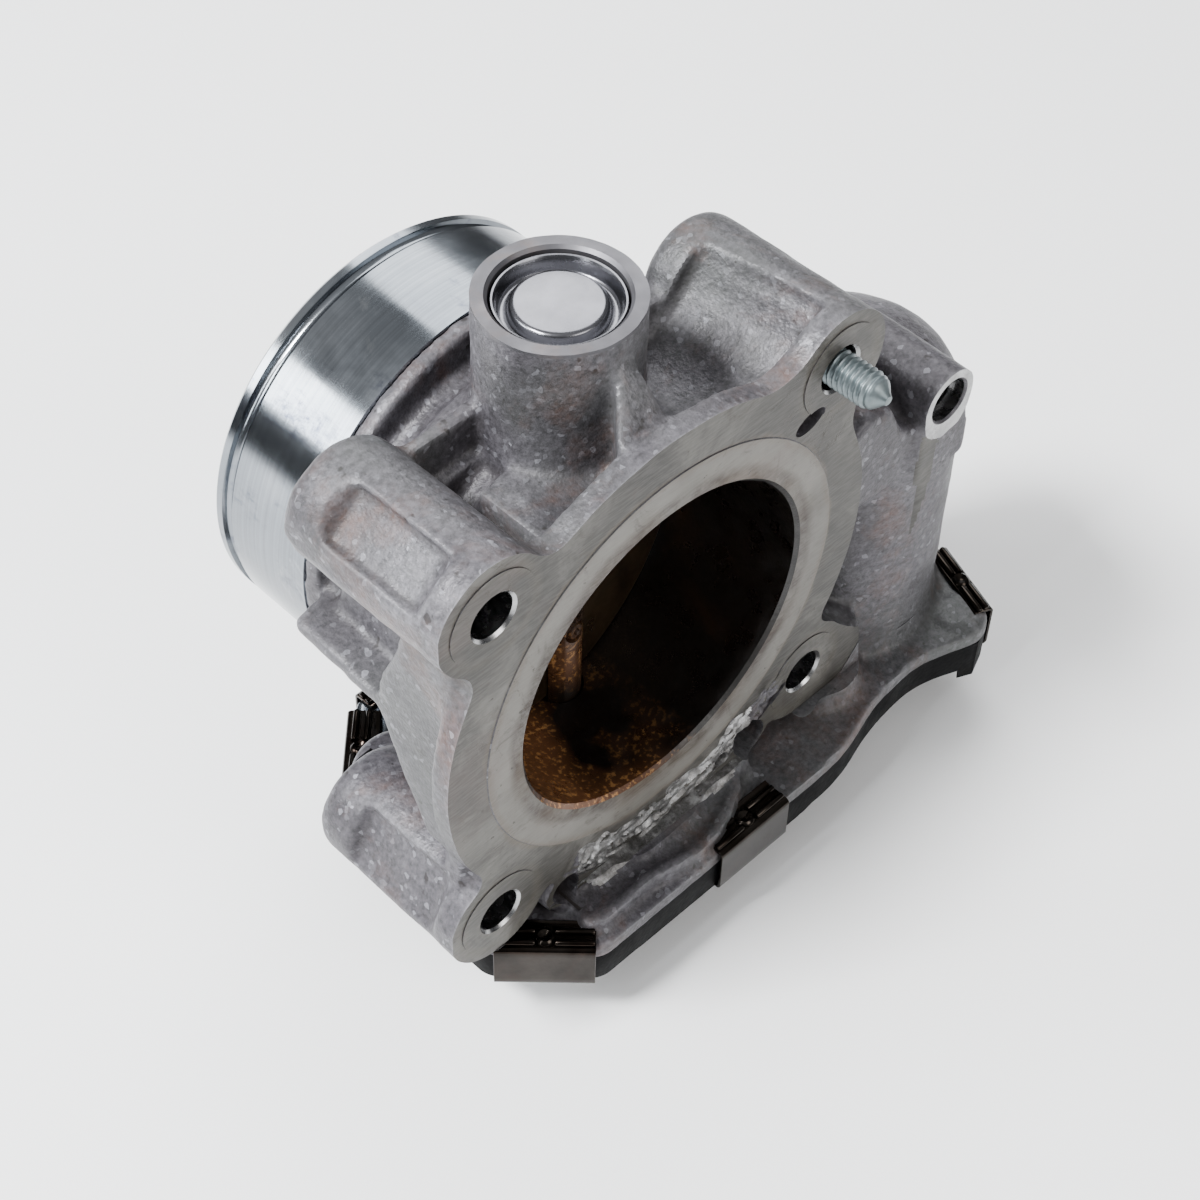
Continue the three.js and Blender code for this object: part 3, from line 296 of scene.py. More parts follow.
# ---------- material helpers
class Shader:
    """A small helper around one Principled material."""

    def __init__(self, name):
        self.mat = bpy.data.materials.new(name)
        self.mat.use_nodes = True
        self.tree = self.mat.node_tree
        self.bsdf = self.tree.nodes["Principled BSDF"]
        self.coord = self.tree.nodes.new("ShaderNodeTexCoord").outputs["Object"]

    def link(self, a, b):
        self.tree.links.new(a, b)

    def put(self, value, socket):
        """Feeds a socket from another node's output, a colour or a number."""
        if hasattr(value, "is_output"):
            self.link(value, socket)
        elif hasattr(value, "__len__"):
            socket.default_value = (*value, 1)
        else:
            socket.default_value = value

    def node(self, kind, **inputs):
        made = self.tree.nodes.new(kind)
        for key, value in inputs.items():
            self.put(value, made.inputs[key.replace("_", " ")])
        return made

    def stretched(self, x, y, z):
        mapping = self.node("ShaderNodeMapping")
        self.link(self.coord, mapping.inputs["Vector"])
        mapping.inputs["Scale"].default_value = (x, y, z)
        return mapping.outputs["Vector"]

    def noise(self, scale, detail=4.0, rough=0.55, vector=None, distort=0.0):
        made = self.node("ShaderNodeTexNoise", Scale=scale, Detail=detail, Roughness=rough,
                         Distortion=distort)
        self.link(vector or self.coord, made.inputs["Vector"])
        return made.outputs["Fac"]

    def cells(self, scale, output="Color"):
        made = self.node("ShaderNodeTexVoronoi", Scale=scale)
        self.link(self.coord, made.inputs["Vector"])
        return made.outputs[output]

    def ramp(self, fac, stops):
        made = self.node("ShaderNodeValToRGB")
        self.link(fac, made.inputs["Fac"])
        ramp = made.color_ramp
        while len(ramp.elements) < len(stops):
            ramp.elements.new(0.5)
        for element, (at, value) in zip(ramp.elements, stops):
            element.position = at
            rgb = value if hasattr(value, "__len__") else (value,) * 3
            element.color = (*rgb, 1)
        return made.outputs["Color"]

    def mix(self, fac, a, b, mode="MIX"):
        made = self.node("ShaderNodeMix")
        made.data_type = "RGBA"
        made.blend_type = mode
        for value, index in ((fac, 0), (a, 6), (b, 7)):
            self.put(value, made.inputs[index])
        return made.outputs[2]

    def times(self, a, b):
        return self.maths("MULTIPLY", a, b)

    def maths(self, operation, a, b=0.0, clamp=False):
        made = self.node("ShaderNodeMath")
        made.operation = operation
        made.use_clamp = clamp
        for socket, value in zip(made.inputs, (a, b)):
            self.put(value, socket)
        return made.outputs[0]

    def edges(self, low, high):
        """0 in hollows to 1 on raised edges, from the mesh's own curvature."""
        geometry = self.node("ShaderNodeNewGeometry")
        return self.ramp(geometry.outputs["Pointiness"], [(low, 0.0), (high, 1.0)])

    def span(self, value, low, high):
        """0 below low to 1 above high, or the other way round where low is the larger."""
        made = self.node("ShaderNodeMapRange", Value=value)
        made.inputs["From Min"].default_value = low
        made.inputs["From Max"].default_value = high
        return made.outputs["Result"]

    def around(self, centre):
        """Distance, in millimetres, from an axis along Y through (x, z)."""
        split = self.node("ShaderNodeSeparateXYZ", Vector=self.coord)
        x = self.maths("SUBTRACT", self.times(split.outputs[0], 1000.0), centre[0])
        z = self.maths("SUBTRACT", self.times(split.outputs[2], 1000.0), centre[1])
        return self.maths("SQRT", self.maths("ADD", self.times(x, x),
                                             self.times(z, z)))

    def relief(self, *layers):
        """Bump from (height, strength, distance in mm) layers, the first one deepest."""
        normal = None
        for height, strength, distance in layers:
            made = self.node("ShaderNodeBump", Strength=strength, Distance=distance * MM,
                             Height=height)
            if normal:
                self.link(normal, made.inputs["Normal"])
            normal = made.outputs["Normal"]
        self.link(normal, self.bsdf.inputs["Normal"])

    def finish(self, colour, rough, metal=0.0, **constants):
        for key, value in (("Base Color", colour), ("Roughness", rough), ("Metallic", metal)):
            self.put(value, self.bsdf.inputs[key])
        for key, value in constants.items():
            self.bsdf.inputs[key.replace("_", " ")].default_value = value
        return self.mat


def cast_aluminium():
    s = Shader("cast_aluminium")
    broad = s.noise(30, 5, 0.6)
    tone = s.ramp(broad, [(0.30, (0.038, 0.035, 0.040)), (0.50, (0.068, 0.064, 0.072)),
                          (0.72, (0.112, 0.108, 0.118))])
    grain = s.ramp(s.noise(1000, 3, 0.65), [(0.32, 0.55), (0.68, 1.35)])
    tone = s.mix(1.0, tone, grain, "MULTIPLY")
    # painted sparkle: bright random cells stand in for glints off the cast skin
    painted_sparkle = s.ramp(s.cells(1300), [(0.80, 0.0), (0.97, 0.6)])
    tone = s.mix(painted_sparkle, tone, (0.28, 0.28, 0.31))
    # lighter raised edges: partly edge wear, partly a painted edge highlight
    tone = s.mix(s.times(s.edges(0.51, 0.60), 0.5), tone, (0.26, 0.255, 0.27))
    pits = s.ramp(s.noise(420, 2, 0.5), [(0.26, 1.0), (0.31, 0.0)])
    tone = s.mix(s.times(pits, 0.85), tone, (0.02, 0.017, 0.017))
    # random grime, plus painted shade darkening the hollows found from the mesh's curvature
    grime_and_hollow_shade = s.ramp(s.noise(70, 6, 0.65), [(0.44, 0.0), (0.74, 1.0)])
    hollow = s.maths("SUBTRACT", 1.0, s.edges(0.42, 0.495))
    grime_and_hollow_shade = s.times(grime_and_hollow_shade, 0.42)
    grime_and_hollow_shade = s.maths("ADD", grime_and_hollow_shade, s.times(hollow, 0.8), clamp=True)
    tone = s.mix(grime_and_hollow_shade, tone, (0.018, 0.014, 0.013))
    green = s.ramp(s.noise(21, 3, 0.5), [(0.50, 0.0), (0.72, 0.45)])
    tone = s.mix(green, tone, (0.068, 0.076, 0.066))
    rust_where = s.ramp(s.noise(33, 6, 0.7, distort=0.4), [(0.54, 0.0), (0.70, 0.9)])
    rust_grain = s.ramp(s.noise(600, 4, 0.7), [(0.35, 0.25), (0.65, 1.0)])
    rust = s.times(rust_where, rust_grain)
    tone = s.mix(s.times(rust, 0.6), tone, (0.125, 0.052, 0.028))
    rough = s.ramp(s.noise(120, 5, 0.6), [(0.3, 0.36), (0.7, 0.58)])
    metal = s.ramp(grime_and_hollow_shade, [(0.0, 0.24), (1.0, 0.06)])
    s.relief((s.noise(210, 4, 0.6), 0.35, 0.5), (s.noise(1100, 3, 0.7), 0.6, 0.18),
             (s.cells(1900, output="Distance"), 0.45, 0.08))
    return s.finish(tone, rough, metal, Specular_IOR_Level=0.34)


def machined_flange():
    s = Shader("machined_flange")
    away = s.around((0, BORE_Z))
    wander = s.times(s.maths("SUBTRACT", s.noise(95, 5, 0.65), 0.5), 5.0)
    away = s.maths("ADD", away, wander)
    patch = s.noise(48, 6, 0.68, distort=0.6)
    tone = s.ramp(patch, [(0.36, (0.016, 0.014, 0.011)), (0.50, (0.042, 0.039, 0.034)),
                          (0.64, (0.110, 0.105, 0.095))])
    inside = s.span(s.around((0, BORE_Z)), 36.0, 35.7)
    inner = s.ramp(s.noise(40, 5, 0.6), [(0.35, (0.088, 0.082, 0.071)),
                                         (0.65, (0.160, 0.152, 0.136))])
    tone = s.mix(inside, tone, inner)
    print_line = s.times(s.span(away, 34.6, 35.7), s.span(away, 36.6, 35.9))
    tone = s.mix(s.times(print_line, 0.5), tone, (0.09, 0.07, 0.05))
    stain_break = s.ramp(s.noise(190, 5, 0.7), [(0.38, 0.25), (0.60, 1.0)])
    bore_stain = s.times(s.span(away, 32.4, 30.9), stain_break)
    tone = s.mix(s.times(bore_stain, 0.95), tone, (0.018, 0.0075, 0.003))
    ochre = s.times(s.span(away, 34.0, 30.0), s.ramp(s.noise(60, 4, 0.6),
                                                                 [(0.45, 0.0), (0.7, 0.5)]))
    tone = s.mix(ochre, tone, (0.070, 0.045, 0.020))
    rings = None
    for at in FLANGE_HOLES:
        hole = s.around(at)
        ring = s.times(s.span(hole, 6.4, 7.5), s.span(hole, 9.4, 8.2))
        lip = s.span(hole, 5.0, 4.1)
        both = s.maths("ADD", s.times(ring, 0.55), s.times(lip, 0.3))
        rings = both if rings is None else s.maths("ADD", rings, both)
    tone = s.mix(s.times(rings, s.ramp(s.noise(170, 4, 0.6), [(0.35, 0.3), (0.65, 1.0)])),
                 tone, (0.060, 0.052, 0.038))
    dirt = s.ramp(s.noise(130, 8, 0.75, distort=1.2), [(0.56, 0.0), (0.70, 0.8)])
    tone = s.mix(dirt, tone, (0.030, 0.022, 0.016))
    pink = s.ramp(s.noise(38, 4, 0.6, distort=0.5), [(0.56, 0.0), (0.72, 0.4)])
    tone = s.mix(pink, tone, (0.085, 0.060, 0.052))
    specks = s.ramp(s.noise(600, 3, 0.6), [(0.27, 1.0), (0.32, 0.0)])
    tone = s.mix(specks, tone, (0.03, 0.024, 0.018))
    crease = s.ramp(s.noise(34, 7, 0.62, distort=2.2), [(0.493, 0.0), (0.5, 0.8), (0.507, 0.0)])
    crease = s.times(crease, s.ramp(s.noise(26, 2, 0.5), [(0.5, 0.0), (0.62, 1.0)]))
    tone = s.mix(crease, tone, (0.05, 0.04, 0.03))
    scratch = s.ramp(s.noise(1, 3, 0.5, vector=s.stretched(260, 40, 2600)),
                     [(0.42, 0.0), (0.60, 1.0)])
    tone = s.mix(s.times(scratch, 0.12), tone, (0.22, 0.215, 0.20))
    rough = s.ramp(patch, [(0.3, 0.34), (0.7, 0.50)])
    s.relief((s.noise(60, 3, 0.5), 0.15, 0.4), (crease, 0.4, 0.1), (scratch, 0.10, 0.03),
             (s.noise(1300, 3, 0.6), 0.25, 0.05))
    return s.finish(tone, rough, 0.18, Specular_IOR_Level=0.25)


def torn_metal():
    s = Shader("torn_metal")
    tone = s.ramp(s.noise(420, 6, 0.7), [(0.28, (0.06, 0.056, 0.052)), (0.5, (0.21, 0.205, 0.20)),
                                         (0.7, (0.52, 0.52, 0.52))])
    s.relief((s.noise(330, 6, 0.75), 0.9, 0.5))
    return s.finish(tone, s.ramp(s.noise(500, 4, 0.6), [(0.3, 0.24), (0.7, 0.5)]), 0.85)


def oily_bore(name="oily_bore", lift=1.0):
    s = Shader(name)
    film = s.noise(48, 5, 0.6, distort=0.6)
    tones = ((0.34, (0.0030, 0.0022, 0.0018)), (0.56, (0.0060, 0.0036, 0.0024)),
             (0.76, (0.0260, 0.0115, 0.0045)))
    tone = s.ramp(film, [(at, tuple(v * lift for v in rgb)) for at, rgb in tones])
    drops = s.ramp(s.noise(1100, 3, 0.6), [(0.54, 0.0), (0.64, 1.0)])
    split = s.node("ShaderNodeSeparateXYZ", Vector=s.coord)
    low = s.times(s.span(s.times(split.outputs[2], 1000.0), 56.0, 44.0),
                  s.span(s.times(split.outputs[0], 1000.0), 9.0, -7.0))
    where = s.times(s.ramp(s.noise(40, 3, 0.5), [(0.36, 0.0), (0.52, 1.0)]), low)
    gold = s.times(drops, where)
    tone = s.mix(s.times(gold, 0.9), tone, (0.85, 0.44, 0.150))
    tone = s.mix(s.times(where, 0.6), tone, (0.240, 0.100, 0.040))
    rough = s.ramp(s.noise(240, 4, 0.6), [(0.3, 0.20), (0.7, 0.48)])
    s.relief((s.noise(420, 5, 0.65), 0.6, 0.3), (s.noise(1500, 3, 0.6), 0.3, 0.08))
    return s.finish(tone, rough, 0.25)


def turned_spigot():
    s = Shader("turned_spigot")
    rings = s.noise(1, 2, 0.5, vector=s.stretched(3, 2600, 3))
    tone = s.ramp(s.noise(22, 5, 0.6), [(0.30, (0.120, 0.135, 0.152)),
                                        (0.55, (0.215, 0.232, 0.252)),
                                        (0.75, (0.33, 0.345, 0.365))])
    tone = s.mix(1.0, tone, s.ramp(rings, [(0.3, 0.86), (0.7, 1.08)]), "MULTIPLY")
    streak = s.noise(1, 5, 0.7, vector=s.stretched(130, 50, 130))
    smear = s.ramp(streak, [(0.55, 0.0), (0.68, 0.9)])
    speck = s.ramp(s.noise(520, 5, 0.7), [(0.42, 0.2), (0.60, 1.0)])
    tone = s.mix(s.times(smear, speck), tone, (0.035, 0.040, 0.070))
    chalk = s.ramp(s.noise(75, 6, 0.75, distort=0.8), [(0.60, 0.0), (0.72, 0.45)])
    tone = s.mix(chalk, tone, (0.47, 0.485, 0.495))
    rough = s.ramp(s.noise(60, 5, 0.65), [(0.30, 0.10), (0.70, 0.22)])
    s.relief((rings, 0.14, 0.02), (s.noise(900, 3, 0.6), 0.10, 0.02))
    return s.finish(tone, rough, 1.0, Anisotropic=0.6)


def steel(name, low, high, rough=(0.22, 0.38), spots=(0.20, 0.13, 0.09), amount=0.4, scale=120,
          metal=1.0):
    s = Shader(name)
    tone = s.ramp(s.noise(scale, 5, 0.6), [(0.3, low), (0.7, high)])
    stain = s.ramp(s.noise(scale * 0.8, 6, 0.7, distort=0.6), [(0.52, 0.0), (0.70, amount)])
    tone = s.mix(stain, tone, spots)
    fine = s.noise(2400, 2, 0.6)
    gloss = s.ramp(s.noise(scale * 1.7, 5, 0.6), [(0.3, rough[0]), (0.7, rough[1])])
    s.relief((s.noise(500, 4, 0.6), 0.12, 0.06), (fine, 0.12, 0.02))
    return s.finish(tone, gloss, metal)


def plastic(name, low, high, rough=(0.42, 0.62), grain=1400, depth=0.08, dust=(0.10, 0.095, 0.09),
            amount=0.25, shine=0.4):
    s = Shader(name)
    tone = s.ramp(s.noise(90, 4, 0.6), [(0.3, low), (0.7, high)])
    film = s.ramp(s.noise(55, 6, 0.7), [(0.52, 0.0), (0.75, amount)])
    tone = s.mix(film, tone, dust)
    tone = s.mix(s.times(s.edges(0.52, 0.60), 0.25), tone, dust)
    gloss = s.ramp(s.noise(160, 4, 0.6), [(0.3, rough[0]), (0.7, rough[1])])
    s.relief((s.cells(grain, output="Distance"), 0.35, depth), (s.noise(300, 3, 0.5), 0.15, 0.1))
    return s.finish(tone, gloss, 0.0, Specular_IOR_Level=shine)


def board():
    s = Shader("circuit_board")
    tracks = s.ramp(s.cells(420, output="Distance"), [(0.30, (0.02, 0.10, 0.045)),
                                                      (0.36, (0.04, 0.19, 0.08))])
    s.relief((s.cells(420, output="Distance"), 0.3, 0.05))
    return s.finish(tracks, 0.35, 0.1)


CAST = cast_aluminium()
FLANGE = machined_flange()
TORN = torn_metal()
BORE = oily_bore()
SPIGOT = turned_spigot()
SEAT = steel("machined_holes", (0.20, 0.20, 0.20), (0.42, 0.42, 0.42), (0.18, 0.34),
             (0.04, 0.03, 0.022), 0.6, 220)
PLUG_FACE = steel("boss_face", (0.080, 0.078, 0.085), (0.125, 0.122, 0.131), (0.36, 0.50),
                  (0.15, 0.105, 0.08), 0.35, 140, 0.75)
PLUG = steel("plug_steel", (0.140, 0.140, 0.152), (0.190, 0.190, 0.205), (0.20, 0.32),
             (0.14, 0.136, 0.132), 0.3, 110)
CLIP = steel("clip_steel", (0.010, 0.0075, 0.006), (0.032, 0.027, 0.023), (0.12, 0.26),
             (0.025, 0.015, 0.011), 0.6, 170)
ZINC = steel("bolt_zinc", (0.095, 0.118, 0.124), (0.185, 0.218, 0.226), (0.30, 0.46),
             (0.08, 0.085, 0.08), 0.4, 320, 0.75)
BRIGHT = steel("bright_steel", (0.45, 0.45, 0.46), (0.66, 0.66, 0.67), (0.18, 0.30),
               (0.13, 0.075, 0.04), 0.45, 130)
OILY_STEEL = oily_bore("oily_steel", 2.4)
OILY_BRASS = steel("stained_brass", (0.020, 0.013, 0.008), (0.060, 0.036, 0.017), (0.26, 0.46),
                   (0.008, 0.005, 0.003), 0.85, 60, 0.6)
BRASS = steel("brass", (0.55, 0.40, 0.17), (0.72, 0.55, 0.27), (0.20, 0.34),
              (0.28, 0.17, 0.07), 0.3, 150)
COPPER = steel("copper", (0.50, 0.22, 0.12), (0.72, 0.38, 0.24), (0.2, 0.36),
               (0.20, 0.08, 0.05), 0.35, 150)
FERRITE = steel("ferrite", (0.045, 0.045, 0.048), (0.10, 0.10, 0.105), (0.55, 0.75),
                (0.03, 0.03, 0.03), 0.3, 260, 0.2)
SPRING = steel("spring_steel", (0.20, 0.20, 0.22), (0.42, 0.42, 0.45), (0.24, 0.4),
               (0.12, 0.08, 0.05), 0.35, 200)
MOTOR_STEEL = steel("motor_steel", (0.34, 0.35, 0.36), (0.52, 0.53, 0.54), (0.3, 0.45),
                    (0.22, 0.2, 0.18), 0.3, 90)
BLACK = plastic("cover_plastic", (0.0014, 0.0014, 0.0016), (0.0036, 0.0036, 0.0040), (0.45, 0.65),
                dust=(0.012, 0.0115, 0.011), shine=0.05)
MOTOR_BLACK = plastic("motor_plastic", (0.014, 0.014, 0.015), (0.03, 0.03, 0.032))
WHITE = plastic("gear_plastic", (0.62, 0.585, 0.50), (0.74, 0.71, 0.64), (0.3, 0.42), 900, 0.04,
                (0.35, 0.29, 0.20), 0.35)
RUBBER = plastic("seal_rubber", (0.010, 0.010, 0.010), (0.022, 0.022, 0.022), (0.7, 0.85), 700,
                 0.06)
BOARD = board()
HOUSING_MATERIALS = (CAST, FLANGE, BORE, SPIGOT, SEAT, PLUG_FACE, TORN)


# ---------- housing
def raw_flange():
    back = -19
    ring = rod(43.3, -26, back, (0, BORE_Z), sides=160)
    lobes, fillets = [], []
    for sx, sz, soft in ((-1, 1, 5), (-1, -1, 3), (1, -1, 3), (1, 1, 9)):
        at = (sx * PITCH, BORE_Z + sz * PITCH)
        lobes.append(rod(9.8, -26, back, at, sides=72))
        reach = PITCH * math.sqrt(2)
        far, near = 43.3 + soft, 9.8 + soft
        swing = math.acos((far ** 2 + reach ** 2 - near ** 2) / (2 * far * reach))
        middle = math.atan2(sz, sx)
        for side in (-1, 1):
            hollow = middle + side * swing
            cx, cz = far * math.cos(hollow), BORE_Z + far * math.sin(hollow)
            start = math.atan2(BORE_Z - cz, -cx)
            end = math.atan2(at[1] - cz, at[0] - cx)
            turn = (end - start + math.pi) % (2 * math.pi) - math.pi
            arc = [(cx + soft * math.cos(start + turn * k / 10),
                    cz + soft * math.sin(start + turn * k / 10)) for k in range(11)]
            inner = (33 * math.cos(middle), BORE_Z + 33 * math.sin(middle))
            fillets.append(prism([*arc, at, inner], -26, back, "Y"))
    return [ring, *lobes, *fillets]


def raw_boss(x, z, back=8.9, fat=9.5):
    return turned([(0, -24), (9.7, -24), (fat, back - 2.4), (fat - 0.4, back - 0.9),
                   (fat - 1.4, back), (0, back)], (x, z), sides=72)


def boss_tool(side, x, z, degrees, half):
    """A side outline of (y, height over the boss's axis), 2 * half wide, turned about it."""
    return spun(prism([(y, z + h) for y, h in side], x - half, x + half, "X"), degrees, (x, z))


def facet(x, z, degrees, height=8.3):
    """Flattens a boss's outer side between its rounded rear and the flange."""
    side = [(-17.6, height + 9), (-17.6, height + 1.4), (-15.6, height), (0.6, height),
            (2.6, height + 1.6), (2.6, height + 9)]
    return boss_tool(side, x, z, degrees, 12)


def panel_cut(x, z, degrees, half, floor=6.9):
    side = [(-18.4, floor + 9), (-18.4, floor + 1.7), (-17.2, floor + 0.4), (-16.2, floor),
            (0.1, floor), (0.9, floor + 0.9), (0.9, floor + 9)]
    return boss_tool(side, x, z, degrees, half)


PANELS = [(-PITCH, BORE_Z + PITCH, -43, 4.5), (-PITCH, BORE_Z - PITCH, -66, 5.4)]


def boss_cuts():
    """Flats on the left bosses' outer sides and the deep pocket beside the upper right boss."""
    cuts = [facet(x, z, degrees) for x, z, degrees, _ in PANELS]
    front = [(34.9, 111), (34.6, 107.4), (33.0, 105.8), (30.6, 102.6), (26.6, 99.4), (22.2, 97.2),
             (18, 95.9), (14.4, 95.2), (14.4, 126), (34.9, 126)]
    rear = [(31.9, 111), (31.6, 107.6), (30.3, 105.6), (28.0, 102.0), (24.8, 98.8), (21.4, 96.5),
            (18, 95.2), (14.4, 94.6), (14.4, 126), (31.9, 126)]
    return [*cuts, prism(front, -18.9, 2.7, "Y", rear)]


def raw_barrel():
    body = turned([(0, -18), (32.8, -18), (32.8, 12.7), (30.6, 13.5), (30.6, 21), (0, 21)],
                  (0, BORE_Z), sides=144)
    collar = turned([(0, 17.6), (34.6, 17.6), (34.9, 18.2), (34.9, 20.6), (0, 20.6)], INLET,
                    sides=144)
    return [body, collar]


def raw_tower():
    tower = turned([(0, 85), (13.6, 85), (13.2, 97), (12.3, 103), (12.2, PLUG_TOP + 2),
                    (0, PLUG_TOP + 2)], (0, 0), "Z", 96)
    left_wall = prism([(-36, 104), (-36, 88), (-22, 82), (-8, 82), (-8, 104.6), (-16, 103.2),
                       (-27, 103.1)], 3.4, 6.0, "Y")
    right_wall = prism([(8, 82), (24, 82), (34, 92), (36, 103), (30, 101.9), (21, 101.4),
                        (15, 102.2), (8, 105)], 3.4, 6.0, "Y")
    left_foot = prism([(-30, 95), (-30, 84), (-20, 80), (-10, 80), (-10, 97)], 1.6, 8, "Y")
    pad = block(-19, 5, -20, -3.4, 80, 97)
    pad_slope = prism([(-20, 97), (-3.4, 97), (-3.4, 97.6), (-9, 97.8), (-20, 96)], -16, 5, "X")
    rear, front = -10.5, -20
    gusset = shell([(0.1, rear, 117), (1.7, rear, 117), (2.6, front, 107.2), (-8.2, front, 106.6),
                    (0.1, rear, 92), (1.7, rear, 92), (2.6, front, 92), (-8.2, front, 92)],
                   [(0, 1, 2, 3), (4, 5, 6, 7), (0, 1, 5, 4), (1, 2, 6, 5), (2, 3, 7, 6),
                    (3, 0, 4, 7)])
    flank = prism([(35, 108), (30, 104.5), (24, 99), (12, 94), (18, 84), (36, 90)], -19.5, 4, "Y")
    return [tower, left_wall, right_wall, left_foot, pad, pad_slope, gusset, flank]


def raw_left_side():
    skin = prism([(-20, 92), (-20, 35), (-14.5, 43), (-9.6, 53.4), (-5.6, 62.3), (-3.4, 67.4),
                  (-3.9, 73), (-5.2, 77), (-9, 85), (-9.9, 92)], -39.3, -28, "X")
    shelf = prism([(-26, -20), (-39, -20), (-39.3, -1), (-38.4, 15.8), (-31.5, 16.6), (-26, 12)],
                  67.4, 70)
    foot = block(-33.5, -24, -13, 6, 17, 34)
    rear_foot = turned([(0, 16), (10.5, 16), (9.6, 19), (9.2, 30), (8.4, 34), (0, 36)],
                       (-27.5, 5.5), "Z", 64)
    ridge = prism([(-43.5, 97.6), (-43.5, 99.2), (-41.5, 101.5), (-40, 97)], -18, 8.6, "Y")
    return [skin, shelf, foot, rear_foot, ridge]


def raw_right_side():
    pillar = turned([(0, 16), (9.3, 16), (8.4, 18.6), (7.4, 20.6), (6.9, 26), (6.6, 31), (0, 36)],
                    (43.6, -18.4), "Z", 64)
    wedge = prism([(34, 41.4), (37, 41), (46.2, 32.6), (47.2, 30.8), (47.2, 21.5), (34, 20)], -24,
                  -19.5, "Y")
    behind = prism([(34, 41), (46, 31), (46, 20), (34, 20)], -20, -14, "Y")
    ridge = prism([(30, 95), (40, 97.5), (47, 92), (56, 80), (60, 70), (54, 55), (42, 52),
                   (34, 77)], 2.6, 7.4, "Y")
    slab = prism([(30, 90), (37, 92), (43, 84), (48, 72), (46, 50), (34, 50), (31, 70)],
                 -19, 4, "Y")
    torn = prism([(38, 77), (46, 80), (51, 78.3), (54, 72), (60, 68.4), (60, 60), (40, 60)],
                 -21.6, -14, "Y")
    web = block(22, 48, -9, 6, 17, 60)
    return [pillar, wedge, behind, ridge, slab, torn, web]


def raw_motor():
    r = 19.6
    x, y = MOTOR
    dome = [(r * math.cos(t), 62 + 14 * math.sin(t))
            for t in (math.radians(d) for d in range(10, 90, 10))]
    can = turned([(0, 16), (r + 1.3, 16), (r + 1.1, 18.4), (r + 0.3, 20.2), (r, 22), (r, 62), *dome,
                  (0, 76)], (x, y), "Z", 128)
    bx, bz = BRACKET
    bracket = turned([(0, -25), (5.75, -25), (5.75, -4), (4.6, 0.6), (2, 1.8), (0, 2)],
                     BRACKET, sides=64)
    root = prism([(bx - 5.7, bz), (bx + 5.7, bz), (bx + 6.4, 58), (bx - 6.4, 58)], -23, -3, "Y")
    return [can, bracket, root]


RIB = [(17.2, -23.8), (15.2, -26.6), (11.1, -28.7), (6.4, -30.2), (1.5, -31.0), (-3.4, -30.1),
       (-7.9, -29.2), (-13, -29.5), (-18.2, -29.6), (-20.7, -28.2)]


def raw_base():
    plate = prism(outline(0.1, steps=8), 11, PLATE_TOP)
    disc = turned([(0, 12), (28.6, 12), (28.2, 18), (27.4, 20.6), (0, 20.6)], (0, 0), "Z", 128)
    drum = rod(18.3, 12, 36, (0, 0), "Z", 96)
    tongue = prism([*RIB, (-22, -12), (14, -12)], 12, 19.9)
    ribs = []
    for (ax, ay), (bx, by) in zip(RIB, RIB[1:]):
        along = Vector((bx - ax, by - ay)).normalized() * 0.6
        side = Vector((-along.y, along.x)).normalized() * 0.95
        a, b = Vector((ax, ay)) - along, Vector((bx, by)) + along
        corners = [a + side, b + side, b - side, a - side]
        ribs.append(prism([tuple(c) for c in corners], 12, 20.9))
    line = block(-5, 8.6, -25.7, -25.0, 12, 21.2)
    corner = prism([(68, -27), (72.2, -31.6), (75.4, -30.2), (76, -24), (70, -22)], 12, 18.7)
    step = [(-18, 14), (-25.4, 14), (-25.0, 20.0), (-23.5, 22.6), (-18, 22.6)]
    roots = [prism(step, -15, 3.6, "X"), prism(step, 8.2, 21, "X")]
    lugs = [rod(r, FLANGE_Y, -12, at) for r, at in zip((4.6, 4.4), LUGS)]
    return [plate, disc, drum, tongue, *ribs, line, corner, *roots, *lugs]


def per_point(mesh, what):
    """One row of three numbers for each of a mesh's points."""
    values = np.zeros(len(mesh.vertices) * 3, np.float32)
    mesh.vertices.foreach_get(what, values)
    return values.reshape(-1, 3)


def roughen(obj, waves):
    """Moves each point along its normal by smooth noise: (amplitude in mm, wavelength in mm)."""
    mesh = obj.data
    normals, points = per_point(mesh, "normal"), per_point(mesh, "co")
    push = np.zeros(len(points), np.float32)
    for amplitude, length in waves:
        scaled = points / (length * MM)
        push += amplitude * MM * np.array([noise.noise(Vector(p)) for p in scaled], np.float32)
    mesh.vertices.foreach_set("co", (points + normals * push[:, None]).ravel())
    mesh.update()


def keep_inside(obj):
    """Clamps a mesh to the CAD model's box."""
    mesh = obj.data
    points = np.clip(per_point(mesh, "co"), np.array(cad_box[0]), np.array(cad_box[1]))
    mesh.vertices.foreach_set("co", points.astype(np.float32).ravel())
    mesh.update()


def radial(centre, x, z):
    return math.hypot(x - centre[0], z - centre[1])


